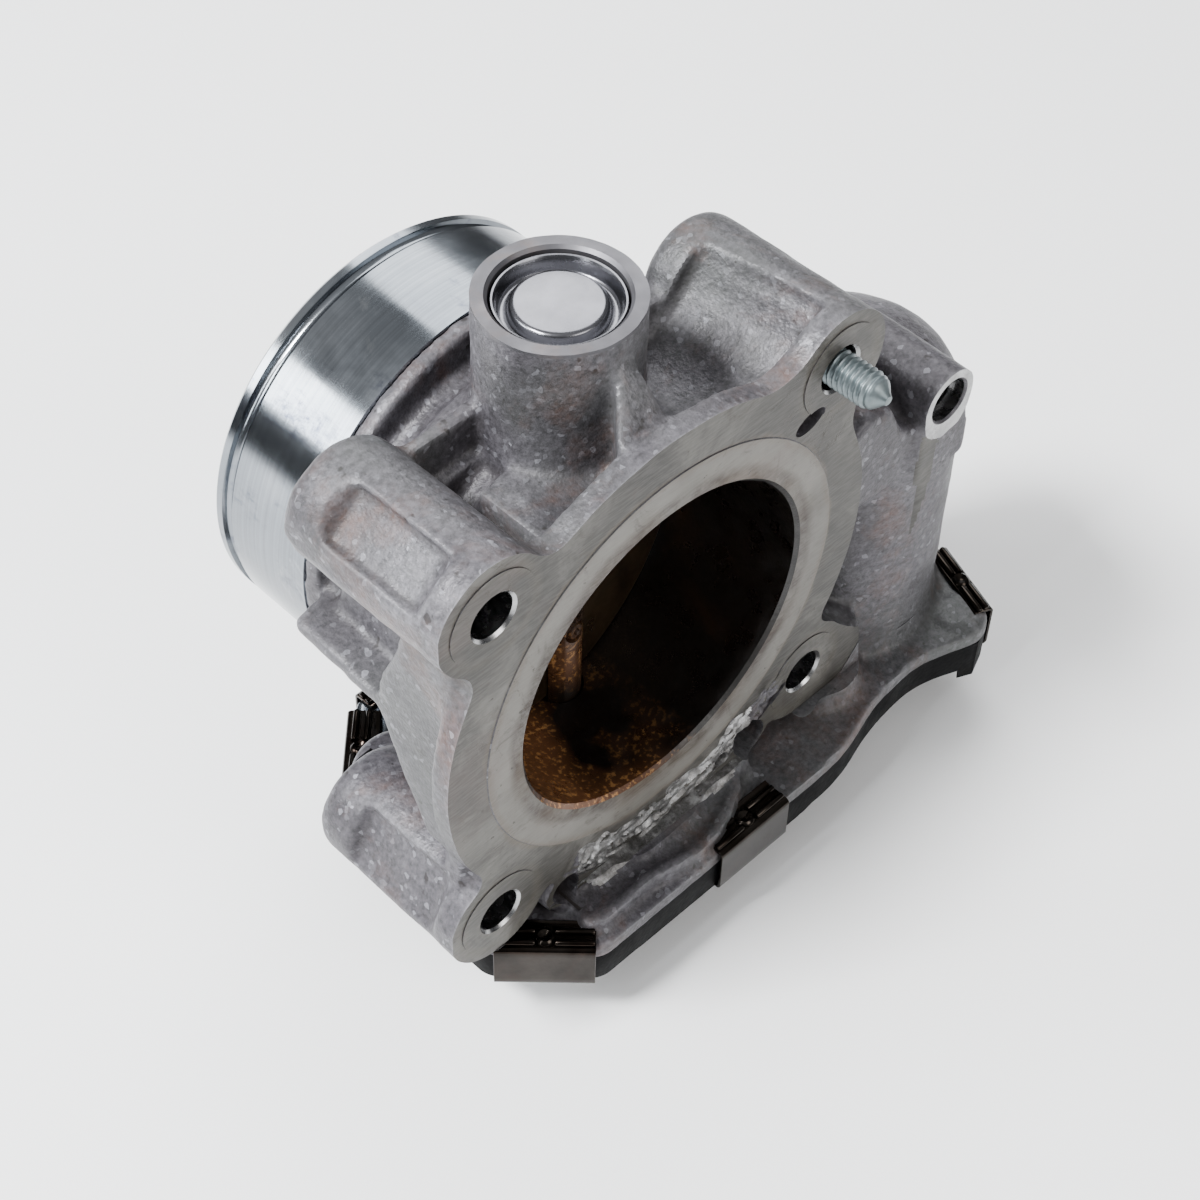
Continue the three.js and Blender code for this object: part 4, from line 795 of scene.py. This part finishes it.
def surface(c, n):
    """The material of a housing face, from its centre in mm and its normal."""
    bore = radial((0, BORE_Z), c.x, c.z)
    spigot = radial(INLET, c.x, c.z)
    if bore < 62 and c.z > 20 and abs(c.y - FLANGE_Y) < 0.3 and n.y < -0.9:
        return FLANGE
    if -25.1 < c.y < FLANGE_Y + 1.9 and c.z < 32 and 36 < bore < 47 and -17 < c.x < 22:
        return TORN
    if bore < BORE_R + 1.2 and c.y < 27.5:
        return BORE
    inward = (c.x - INLET[0]) * n.x + (c.z - INLET[1]) * n.z < 0
    if spigot < 32.2 and c.y > 12 and inward:
        return BORE if c.y < 24 else SPIGOT
    if c.y > 20.4 and spigot > 31:
        return SPIGOT
    if c.z > PLUG_TOP - 0.6 or (math.hypot(c.x, c.y) < 10.3 and c.z > 100):
        return PLUG_FACE
    for at in FLANGE_HOLES:
        x, z = c.x - at[0], c.z - at[1]
        if math.hypot(x, z) < 6.1 and c.y < 9 and (x * n.x + z * n.z < -1 or n.y > 0.9):
            return SEAT
    bracket = radial(BRACKET, c.x, c.z)
    if bracket < 4 or (bracket < 5.9 and c.y < FLANGE_Y + 0.1):
        return SEAT
    if c.z < PLATE_LOW + 0.05 and n.z < -0.9:
        return PLUG_FACE
    return CAST


def chamfered_hole(r, depth_lo, depth_hi, centre, mouth, sides=48):
    """A cutter for a hole along Y whose front mouth is chamfered."""
    return turned([(0, depth_lo - 2), (r + mouth + 2, depth_lo - 2), (r, depth_lo + mouth),
                   (r, depth_hi), (0, depth_hi)], centre, sides=sides)


def torn_edge_cutter():
    """A rough tool that gouges the flange's lower edge."""
    radii = [35.6 + 9.4 * i / 34 for i in range(35)]
    angles = [-121 + 76 * i / 190 for i in range(191)]
    front, back = [], []
    for a in angles:
        ends = min(1.0, (a + 121) / 8, (-45 - a) / 8)
        for r in radii:
            x, z = polar(r, a, 0, BORE_Z)
            at = Vector((x, 0, z))
            along = math.radians(a) * 40
            start = 37.6 + 3.4 * noise.noise(at / 7.5) + 1.0 * noise.noise(at / 2.1)
            deep = min(1.0, max(-0.4, (r - start) / 0.8)) * ends
            jag = 0.75 * noise.noise(Vector((along / 5.5, r / 1.1, 3)))
            jag += 0.5 * noise.noise(at / 1.3)
            front.append((x, FLANGE_Y - 2, z))
            back.append((x, FLANGE_Y - 0.12 + max(-0.3, deep * (0.62 + 0.9 * jag)), z))
    rows, count = len(angles), len(radii)
    n = rows * count
    faces = []
    for i in range(rows - 1):
        for j in range(count - 1):
            quad = (i * count + j, i * count + j + 1, (i + 1) * count + j + 1, (i + 1) * count + j)
            faces.append(quad)
            faces.append(tuple(n + k for k in reversed(quad)))
    loop = list(range(count)) + [i * count + count - 1 for i in range(1, rows)]
    loop += [(rows - 1) * count + j for j in range(count - 2, -1, -1)]
    loop += [i * count for i in range(rows - 2, 0, -1)]
    for a, b in zip(loop, loop[1:] + loop[:1]):
        faces.append((a, b, n + b, n + a))
    return shell(front + back, faces)


def machine_flange(obj):
    """Faces the flange, gouges its lower edge and relieves it outside the gasket's print."""
    cut(obj, block(-90, 90, -40, FLANGE_Y, 21.3, 130))
    cut(obj, block(-130, -24, -40, FLANGE_Y, 18.8, 130))
    relief = make("relief", [turned([(35.8, -26), (62, -26), (62, FLANGE_Y + 0.17),
                                     (35.95, FLANGE_Y + 0.17), (35.8, FLANGE_Y), (35.8, -26)],
                                    (0, BORE_Z), sides=160)])
    for at in FLANGE_HOLES:
        cut(relief, rod(7.7, -28, -20, at))
    cut(relief, block(44, 90, -28, -20, 45, 100))
    cut(relief, block(-70, 70, -28, -20, -10, 21.3))
    boolean(obj, relief)
    cut(obj, torn_edge_cutter())
    oval = [(28.5 + 3.1 * math.cos(t) * 0.96 - 1.75 * math.sin(t) * 0.27,
             92.1 + 3.1 * math.cos(t) * 0.27 + 1.75 * math.sin(t) * 0.96)
            for t in (2 * math.pi * i / 28 for i in range(28))]
    cut(obj, prism(oval, -26, -21.4, "Y"))


def machine_holes(obj):
    for at in FLANGE_HOLES:
        cut(obj, chamfered_hole(3.75, FLANGE_Y, 12, at, 0.45))
        if at != (PITCH, BORE_Z - PITCH):
            cut(obj, rod(5.9, 3.4, 12, at))
    cut(obj, chamfered_hole(3.9, FLANGE_Y, FLANGE_Y + 2.6, BRACKET, 0.4))
    cut(obj, rod(3.1, FLANGE_Y + 2, FLANGE_Y + 14, BRACKET))
    cut(obj, turned([(0, -26), (3.6, -26), (3.5, -18), (0, -16)], LUGS[0]))
    cut(obj, turned([(0, -26), (2.9, -26), (2.7, -18.5), (0, -17)], LUGS[1]))


def machine_bores(obj):
    spigot = turned([
        (29, 20.4), (33.9, 20.4), (34.9, 20.7), (34.9, INLET_Y - 4.2), (34.2, INLET_Y - 3.9),
        (33.9, INLET_Y - 3.2), (33.9, INLET_Y - 2.6), (34.2, INLET_Y - 2.1), (34.9, INLET_Y - 1.8),
        (34.9, INLET_Y - 0.5), (34.5, INLET_Y), (29, INLET_Y), (29, 20.4)], INLET, sides=192)
    add(obj, spigot)
    cut(obj, turned([(0, -28), (30.2, -28), (29.15, FLANGE_Y), (BORE_R, -22.5), (BORE_R, 27),
                     (0, 27)], (0, BORE_Z), sides=192))
    cut(obj, turned([(0, 14), (27.5, 14), (27.5, 20), (31.6, 33.5), (31.6, 40.9), (32.8, 43),
                     (0, 43)], INLET, sides=192))
    top = PLUG_TOP
    upper = turned([(0, 60), (4.4, 60), (4.4, 95), (8.2, 95), (8.2, 112), (9.8, 112),
                    (9.8, top - 0.5), (10.3, top), (10.3, top + 3), (0, top + 3)], (0, 0), "Z", 96)
    cut(obj, upper)
    lower = turned([(0, 10), (25.0, 10), (24.8, 18), (15.7, 18), (15.7, 28), (10.6, 28), (10.6, 17),
                    (8.2, 17), (8.2, 30.5), (4.4, 30.5), (4.4, 64), (0, 64)], (0, 0), "Z", 96)
    cut(obj, lower)
    cut(obj, rod(17, 10, 61.5, MOTOR, "Z", 96))


def build_housing():
    obj = make("housing_casting", [
        *raw_flange(), raw_boss(-PITCH, BORE_Z + PITCH, fat=9.8), raw_boss(-PITCH, BORE_Z - PITCH),
        raw_boss(PITCH, BORE_Z + PITCH), raw_boss(PITCH, BORE_Z - PITCH, -14), *raw_barrel(),
        *raw_tower(), *raw_left_side(), *raw_right_side(), *raw_motor(), *raw_base(),
    ])
    voxel = 0.62
    remesh(obj, voxel)
    for tool in boss_cuts():
        cut(obj, tool)
    for panel in PANELS:
        cut(obj, panel_cut(*panel))
    remesh(obj, voxel)
    soften(obj, 6)
    roughen(obj, [(0.16, 7.0), (0.07, 2.2)])
    obj.data.materials.clear()
    for mat in HOUSING_MATERIALS:
        obj.data.materials.append(mat)
    machine_flange(obj)
    cut(obj, block(-90, 90, -60, 60, 5, PLATE_LOW))
    cut(obj, block(-20, 20, -20, 20, PLUG_TOP, PLUG_TOP + 9))
    machine_bores(obj)
    machine_holes(obj)
    for poly in obj.data.polygons:
        poly.material_index = HOUSING_MATERIALS.index(surface(poly.center / MM, poly.normal))
    keep_inside(obj)
    shade(obj, 32)
    stand_in(obj, "fixed", "cast_housing", "housing")


# ---------- cover, clips, plug, bolt
def build_cover():
    rim = make("gear_cover_moulding", [prism(outline(0.3), 9.5, 15.5)], BLACK)
    add(rim, prism(outline(0, DOME_OUTLINE), 0, 12))
    corner = [(68.7, -31.0), (71.5, -32.3), (76.0, -30.5), (77.0, -28.2), (75.2, -27.4),
              (73.6, -29.2), (70.6, -29.6)]
    add(rim, prism(corner, 7, 15.5))
    add(rim, block(15, 39, 27, 53, 0.6, 13.4), block(24, 30, 38, 50, 13, 14.9))
    for x, y in ((-18, 22), (-26, -6), (60, 14.4), (75.4, -2)):
        add(rim, block(x - 0.7, x + 0.7, y - 4, y + 4, 3, 12))
    cut(rim, block(16.8, 37.2, 39, 54, 2.4, 11.6))
    cut(rim, prism(outline(3.2), 11.1, 17))
    cut(rim, prism(outline(2.2, DOME_OUTLINE), 2.2, 17))
    bevel(rim, 0.45, 3, 40)
    shade(rim, 40)
    stand_in(rim, "fixed", "cover_plastic", "gear_cover")


def clip_strip(reach):
    """Half the bent strip's section: its outer line from the top arm's tip to the lower arm."""
    top, bottom, face = PLATE_TOP + 0.75, 9.2, 0.9
    points = [(-reach - 0.2, top + 0.25), (-reach + 0.3, top)]
    points += [(-reach + 0.3 + (reach - 0.6) * i / 6, top) for i in range(1, 7)]
    points += [(face - 0.9 + 0.9 * math.sin(t), top - 0.9 + 0.9 * math.cos(t))
               for t in (math.pi / 2 * i / 6 for i in range(1, 7))]
    points += [(face, top - 0.9 - (top - 1.8 - bottom) * i / 8) for i in range(1, 9)]
    points += [(face - 0.9 + 0.9 * math.cos(t), bottom + 0.9 - 0.9 * math.sin(t))
               for t in (math.pi / 2 * i / 6 for i in range(1, 7))]
    points += [(face - 0.9 - 2.2 * i / 4, bottom) for i in range(1, 5)]
    return points


def build_clip(node, at, facing, reach):
    line = clip_strip(reach)
    thick = 0.55
    inner = []
    for i, (x, z) in enumerate(line):
        a, b = line[max(i - 1, 0)], line[min(i + 1, len(line) - 1)]
        along = Vector((b[0] - a[0], b[1] - a[1])).normalized()
        inner.append((x + along.y * thick, z - along.x * thick))
    parts = [prism([*line, *reversed(inner)], -8, 8, "Y")]
    top = PLATE_TOP + 0.75
    ridges = (-0.75, -2.85) if reach > 4 else (-0.45, -1.9)
    for x in ridges:
        for lo, hi in ((-7.9, -1.5), (1.5, 7.9)):
            parts.append(turned([(0, lo), (0.5, lo + 0.1), (0.62, lo + 0.4), (0.62, hi - 0.4),
                                 (0.5, hi - 0.1), (0, hi)], (x, top + 0.02), "Y", 20))
    middle = sum(ridges) / 2
    dimple = [(1.75, top - 0.2), (1.6, top + 0.2), (1.15, top + 0.5), (0.8, top + 0.35),
              (0.55, top + 0.12), (0, top + 0.05)]
    parts.append(turned([(0, top - 0.2), *dimple], (middle, 0), "Z", 32))
    turn = Matrix.Rotation(math.radians(facing), 4, "Z")
    move = Vector((at[0], at[1], 0))
    placed = [([tuple(turn @ Vector(v) + move) for v in vs], fs) for vs, fs in parts]
    obj = make(node + "_strip", placed, CLIP)
    bevel(obj, 0.07, 1, 60)
    keep_inside(obj)
    shade(obj, 40)
    stand_in(obj, "fixed", "clip_steel", node)


def build_plug():
    top = PLUG_TOP
    profile = [
        (0, top - 7.0), (9.5, top - 7.0), (9.5, top - 1.1), (9.35, top - 0.9), (9.1, top - 0.95),
        (8.75, top - 1.5), (8.55, top - 3.0), (8.2, top - 3.35), (7.7, top - 3.4), (7.3, top - 3.2),
        (7.05, top - 2.5), (6.85, top - 1.75), (6.55, top - 1.45), (6.1, top - 1.35),
        (3, top - 1.38), (0, top - 1.4),
    ]
    obj = make("expansion_plug_cup", [turned(profile, (0, 0), "Z", 96)], PLUG)
    shade(obj, 40)
    stand_in(obj, "fixed", "plug_steel", "expansion_plug")


def threaded(core, crest, pitch, start, end, tip, centre, sides=40, taper=1.2):
    """A threaded stem along Y from start (tip side) to end, with a pointed tip at tip."""
    rows = max(8, int((end - start) / pitch * 10))
    verts, faces = [], []

    def crest_radius(y, turn):
        ridge = max(0.0, 1 - abs((y / pitch + turn) % 1.0 - 0.5) * 2.4)
        return core + (crest - core) * min(1.0, ridge * 1.25) * min(1.0, (y - start) / taper)

    def ring(y, radii):
        for i, r in enumerate(radii):
            t = 2 * math.pi * i / sides
            verts.append((centre[0] + r * math.cos(t), y, centre[1] + r * math.sin(t)))

    def band(low, high):
        for i in range(sides):
            j = (i + 1) % sides
            faces.append((low + i, low + j, high + j, high + i))

    for k in range(rows + 1):
        y = start + (end - start) * k / rows
        ring(y, [crest_radius(y, i / sides) for i in range(sides)])
    for k in range(rows):
        band(k * sides, (k + 1) * sides)
    low = 0
    for share, y in ((0.92, start - 0.25), (0.42, tip + 0.55), (0.30, tip + 0.1)):
        ring(y, [core * share] * sides)
        band(low, len(verts) - sides)
        low = len(verts) - sides
    for first, y in ((low, tip), (rows * sides, end)):
        faces += [(first + i, first + (i + 1) % sides, len(verts)) for i in range(sides)]
        verts.append((centre[0], y, centre[1]))
    return shell(verts, faces)


def build_bolt():
    at = (PITCH, BORE_Z + PITCH)
    stem = threaded(2.52, 3.0, 1.0, -30.2, 3.9, -32.2, at)
    head = turned([(0, 3.7), (4.6, 3.7), (4.9, 4.0), (4.9, 7.6), (4.5, 8.2), (2.8, 8.25),
                   (2.6, 8.0), (2.6, 5.8), (0, 5.4)], at)
    obj = make("flange_bolt_thread", [stem, head], ZINC)
    shade(obj, 38)
    stand_in(obj, "fixed", "bolt_zinc", "flange_bolt")


# ---------- butterfly, shaft, screws
def about_shaft(shells):
    return [spun(s, REST_ANGLE, (0, 0), "Z") for s in shells]


def build_butterfly():
    disc = turned([(0, -1), (27.6, -1), (28.05, -0.75), (28.22, 0), (28.05, 0.75), (27.6, 1),
                   (0, 1)], (0, BORE_Z), sides=160)
    obj = make("butterfly_disc", about_shaft([disc]), OILY_BRASS)
    holes = [rod(2.1, -3, 3, (0, BORE_Z + s * PLATE_SCREW_Z), sides=32) for s in (-1, 1)]
    cut(obj, *about_shaft(holes))
    shade(obj, 40)
    stand_in(obj, "throttle", "plate_brass", "throttle_plate")

    profile = [(0, 5.3), (2.7, 5.3), (3, 5.6), (3, 10.6), (4, 10.6), (4, BORE_Z + 40.4),
               (3.5, BORE_Z + 41), (0, BORE_Z + 41)]
    shaft = make("throttle_shaft_bar", about_shaft([turned(profile, (0, 0), "Z", 64)]), OILY_STEEL)
    cut(shaft, *about_shaft([block(-5, 5, -1.3, 1.3, BORE_Z - 28.85, BORE_Z + 28.85)]))
    for s in (-1, 1):
        z = BORE_Z + s * PLATE_SCREW_Z
        cut(shaft, *about_shaft([block(-5, 5, 3.2, 5, z - 4, z + 4)]))
        cut(shaft, *about_shaft([rod(2.1, -5, 5, (0, z), sides=32)]))
    bevel(shaft, 0.12, 2, 40)
    shade(shaft, 35)
    stand_in(shaft, "throttle", "bright_steel", "throttle_shaft")

    for s, node in ((1, "plate_screw_upper"), (-1, "plate_screw_lower")):
        z = BORE_Z + s * PLATE_SCREW_Z
        stem = threaded(1.45, 1.7, 0.5, -3.6, 3.7, -4.4, (0, z), 28, 0.6)
        head = turned([(0, 3.5), (3.0, 3.5), (3.2, 3.7), (3.2, 4.5), (2.7, 5.2), (1.6, 5.45),
                       (0, 5.5)], (0, z), sides=48)
        screw = make(node + "_head", about_shaft([stem, head]), OILY_STEEL)
        for turn in (0, 60, 120):
            slot = spun(block(-1.6, 1.6, 4.4, 6, z - 0.32, z + 0.32), turn, (0, z))
            cut(screw, *about_shaft([slot]))
        shade(screw, 38)
        stand_in(screw, "throttle", "zinc_steel", node)


def build_spring():
    curve = bpy.data.curves.new("return_spring_wire", "CURVE")
    curve.dimensions = "3D"
    curve.bevel_depth = 0.75 * MM
    curve.bevel_resolution = 4
    curve.use_fill_caps = True
    spline = curve.splines.new("POLY")
    count = 4 * 48
    spline.points.add(count)
    for i, point in enumerate(spline.points):
        t = i / count
        x, y = polar(13.2, t * 4.2 * 360)
        point.co = (x * MM, y * MM, (17.4 + 9.2 * t) * MM, 1)
    curve.materials.append(SPRING)
    stand_in(in_scene("return_spring_wire", curve), "fixed", "spring_steel", "return_spring")


def build_pins():
    for i in range(6):
        x = 27 + (i - 2.5) * 2.9
        blade = block(x - 0.4, x + 0.4, 27.3, 46, 6.6, 7.4)
        obj = make(f"connector_pin_blade_{i + 1}", [blade], BRASS)
        bevel(obj, 0.16, 2, 40)
        shade(obj, 40)
        stand_in(obj, "fixed", "pin_brass", f"connector_pin_{i + 1}")


KEPT = {
    "cover_seal": RUBBER, "upper_bearing": BRIGHT, "lower_bearing": BRIGHT,
    "upper_shaft_seal": RUBBER, "lower_shaft_seal": RUBBER, "sector_gear": WHITE,
    "intermediate_gear": WHITE, "gear_pin": BRIGHT, "motor_pinion": BRASS, "motor_can": MOTOR_STEEL,
    "motor_end_plate": MOTOR_BLACK, "motor_shaft": BRIGHT, "motor_armature": MOTOR_STEEL,
    "motor_commutator": COPPER, "motor_magnet_front": FERRITE, "motor_magnet_rear": FERRITE,
    "motor_brush_left": FERRITE, "motor_brush_right": FERRITE, "motor_terminal_front": COPPER,
    "motor_terminal_rear": COPPER, "motor_screw_rear": ZINC, "motor_screw_front": ZINC,
    "motor_wave_spring": SPRING, "sensor_magnet": FERRITE, "sensor_board": BOARD,
}


def finish_kept_nodes():
    for node, mat in KEPT.items():
        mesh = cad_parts[node].data
        mesh.materials.clear()
        mesh.materials.append(mat)


# ---------- stage
def build_camera():
    data = bpy.data.cameras.new("camera")
    data.sensor_fit = "HORIZONTAL"
    data.sensor_width = 36
    data.lens = 72.73
    data.clip_start = 0.01
    data.clip_end = 20
    cam = in_scene("camera", data)
    right = Vector((0.7110, -0.7029, 0.0183)).normalized()
    back = -Vector((0.4733, 0.4592, -0.7517)).normalized()
    up = back.cross(right).normalized()
    right = up.cross(back)
    cam.matrix_world = Matrix((
        (right.x, up.x, back.x, -0.1723),
        (right.y, up.y, back.y, -0.1764),
        (right.z, up.z, back.z, 0.3379),
        (0, 0, 0, 1)))
    bpy.context.scene.camera = cam


def lamp(name, place_at, target, size, power, colour=(1, 1, 1), shape_y=None):
    data = bpy.data.lights.new(name, "AREA")
    data.energy = power
    data.color = colour
    data.shape = "RECTANGLE"
    data.size = size
    data.size_y = shape_y or size
    obj = in_scene(name, data)
    obj.location = place_at
    obj.rotation_euler = (Vector(target) - Vector(place_at)).to_track_quat("-Z", "Y").to_euler()


def build_stage():
    mesh = bpy.data.meshes.new("floor")
    bm = bmesh.new()
    bmesh.ops.create_grid(bm, x_segments=8, y_segments=8, size=3)
    bm.to_mesh(mesh)
    bm.free()
    floor = in_scene("floor", mesh)
    floor.location.z = cad_box[0][2] - 0.0002
    s = Shader("floor_paper")
    s.relief((s.noise(400, 3, 0.5), 0.05, 0.1))
    mesh.materials.append(s.finish(s.ramp(s.noise(8, 2, 0.5), [(0.3, 0.88), (0.7, 0.90)]), 0.85))
    world = bpy.data.worlds.new("studio")
    bpy.context.scene.world = world
    world.use_nodes = True
    tree = world.node_tree
    coord = tree.nodes.new("ShaderNodeTexCoord")
    split = tree.nodes.new("ShaderNodeSeparateXYZ")
    tree.links.new(coord.outputs["Generated"], split.inputs[0])
    sky = tree.nodes.new("ShaderNodeValToRGB")
    tree.links.new(split.outputs["Z"], sky.inputs["Fac"])
    stops = ((0.0, (0.20, 0.205, 0.215, 1)), (0.35, (0.33, 0.335, 0.35, 1)),
             (1.0, (1.0, 1.01, 1.03, 1)))
    sky.color_ramp.elements.new(0.35)
    for element, (at, colour) in zip(sky.color_ramp.elements, stops):
        element.position = at
        element.color = colour
    background = tree.nodes["Background"]
    tree.links.new(sky.outputs["Color"], background.inputs["Color"])
    background.inputs["Strength"].default_value = 0.62
    lamp("key", (-0.60, 0.20, 0.95), (0.02, 0, 0.06), 0.26, 33, (0.98, 0.99, 1.0))
    lamp("back", (0.50, 0.50, 0.80), (0.02, 0, 0.06), 0.60, 8, (0.97, 0.985, 1.0))
    lamp("window", (-0.85, -0.05, 0.60), (0, 0.02, 0.08), 0.04, 3, (0.93, 0.97, 1.0), 0.8)
    lamp("side", (-0.66, 0.50, 0.50), (0, 0.05, 0.07), 0.32, 7, (0.93, 0.97, 1.0))
    lamp("front", (0.10, -0.90, 0.62), (0.02, 0, 0.06), 0.5, 6, (1.0, 0.985, 0.965))


build_camera()
build_stage()
build_housing()
build_cover()
for node, (at, facing, reach) in CLIPS.items():
    build_clip(node, at, facing, reach)
build_plug()
build_bolt()
build_butterfly()
build_spring()
build_pins()
finish_kept_nodes()
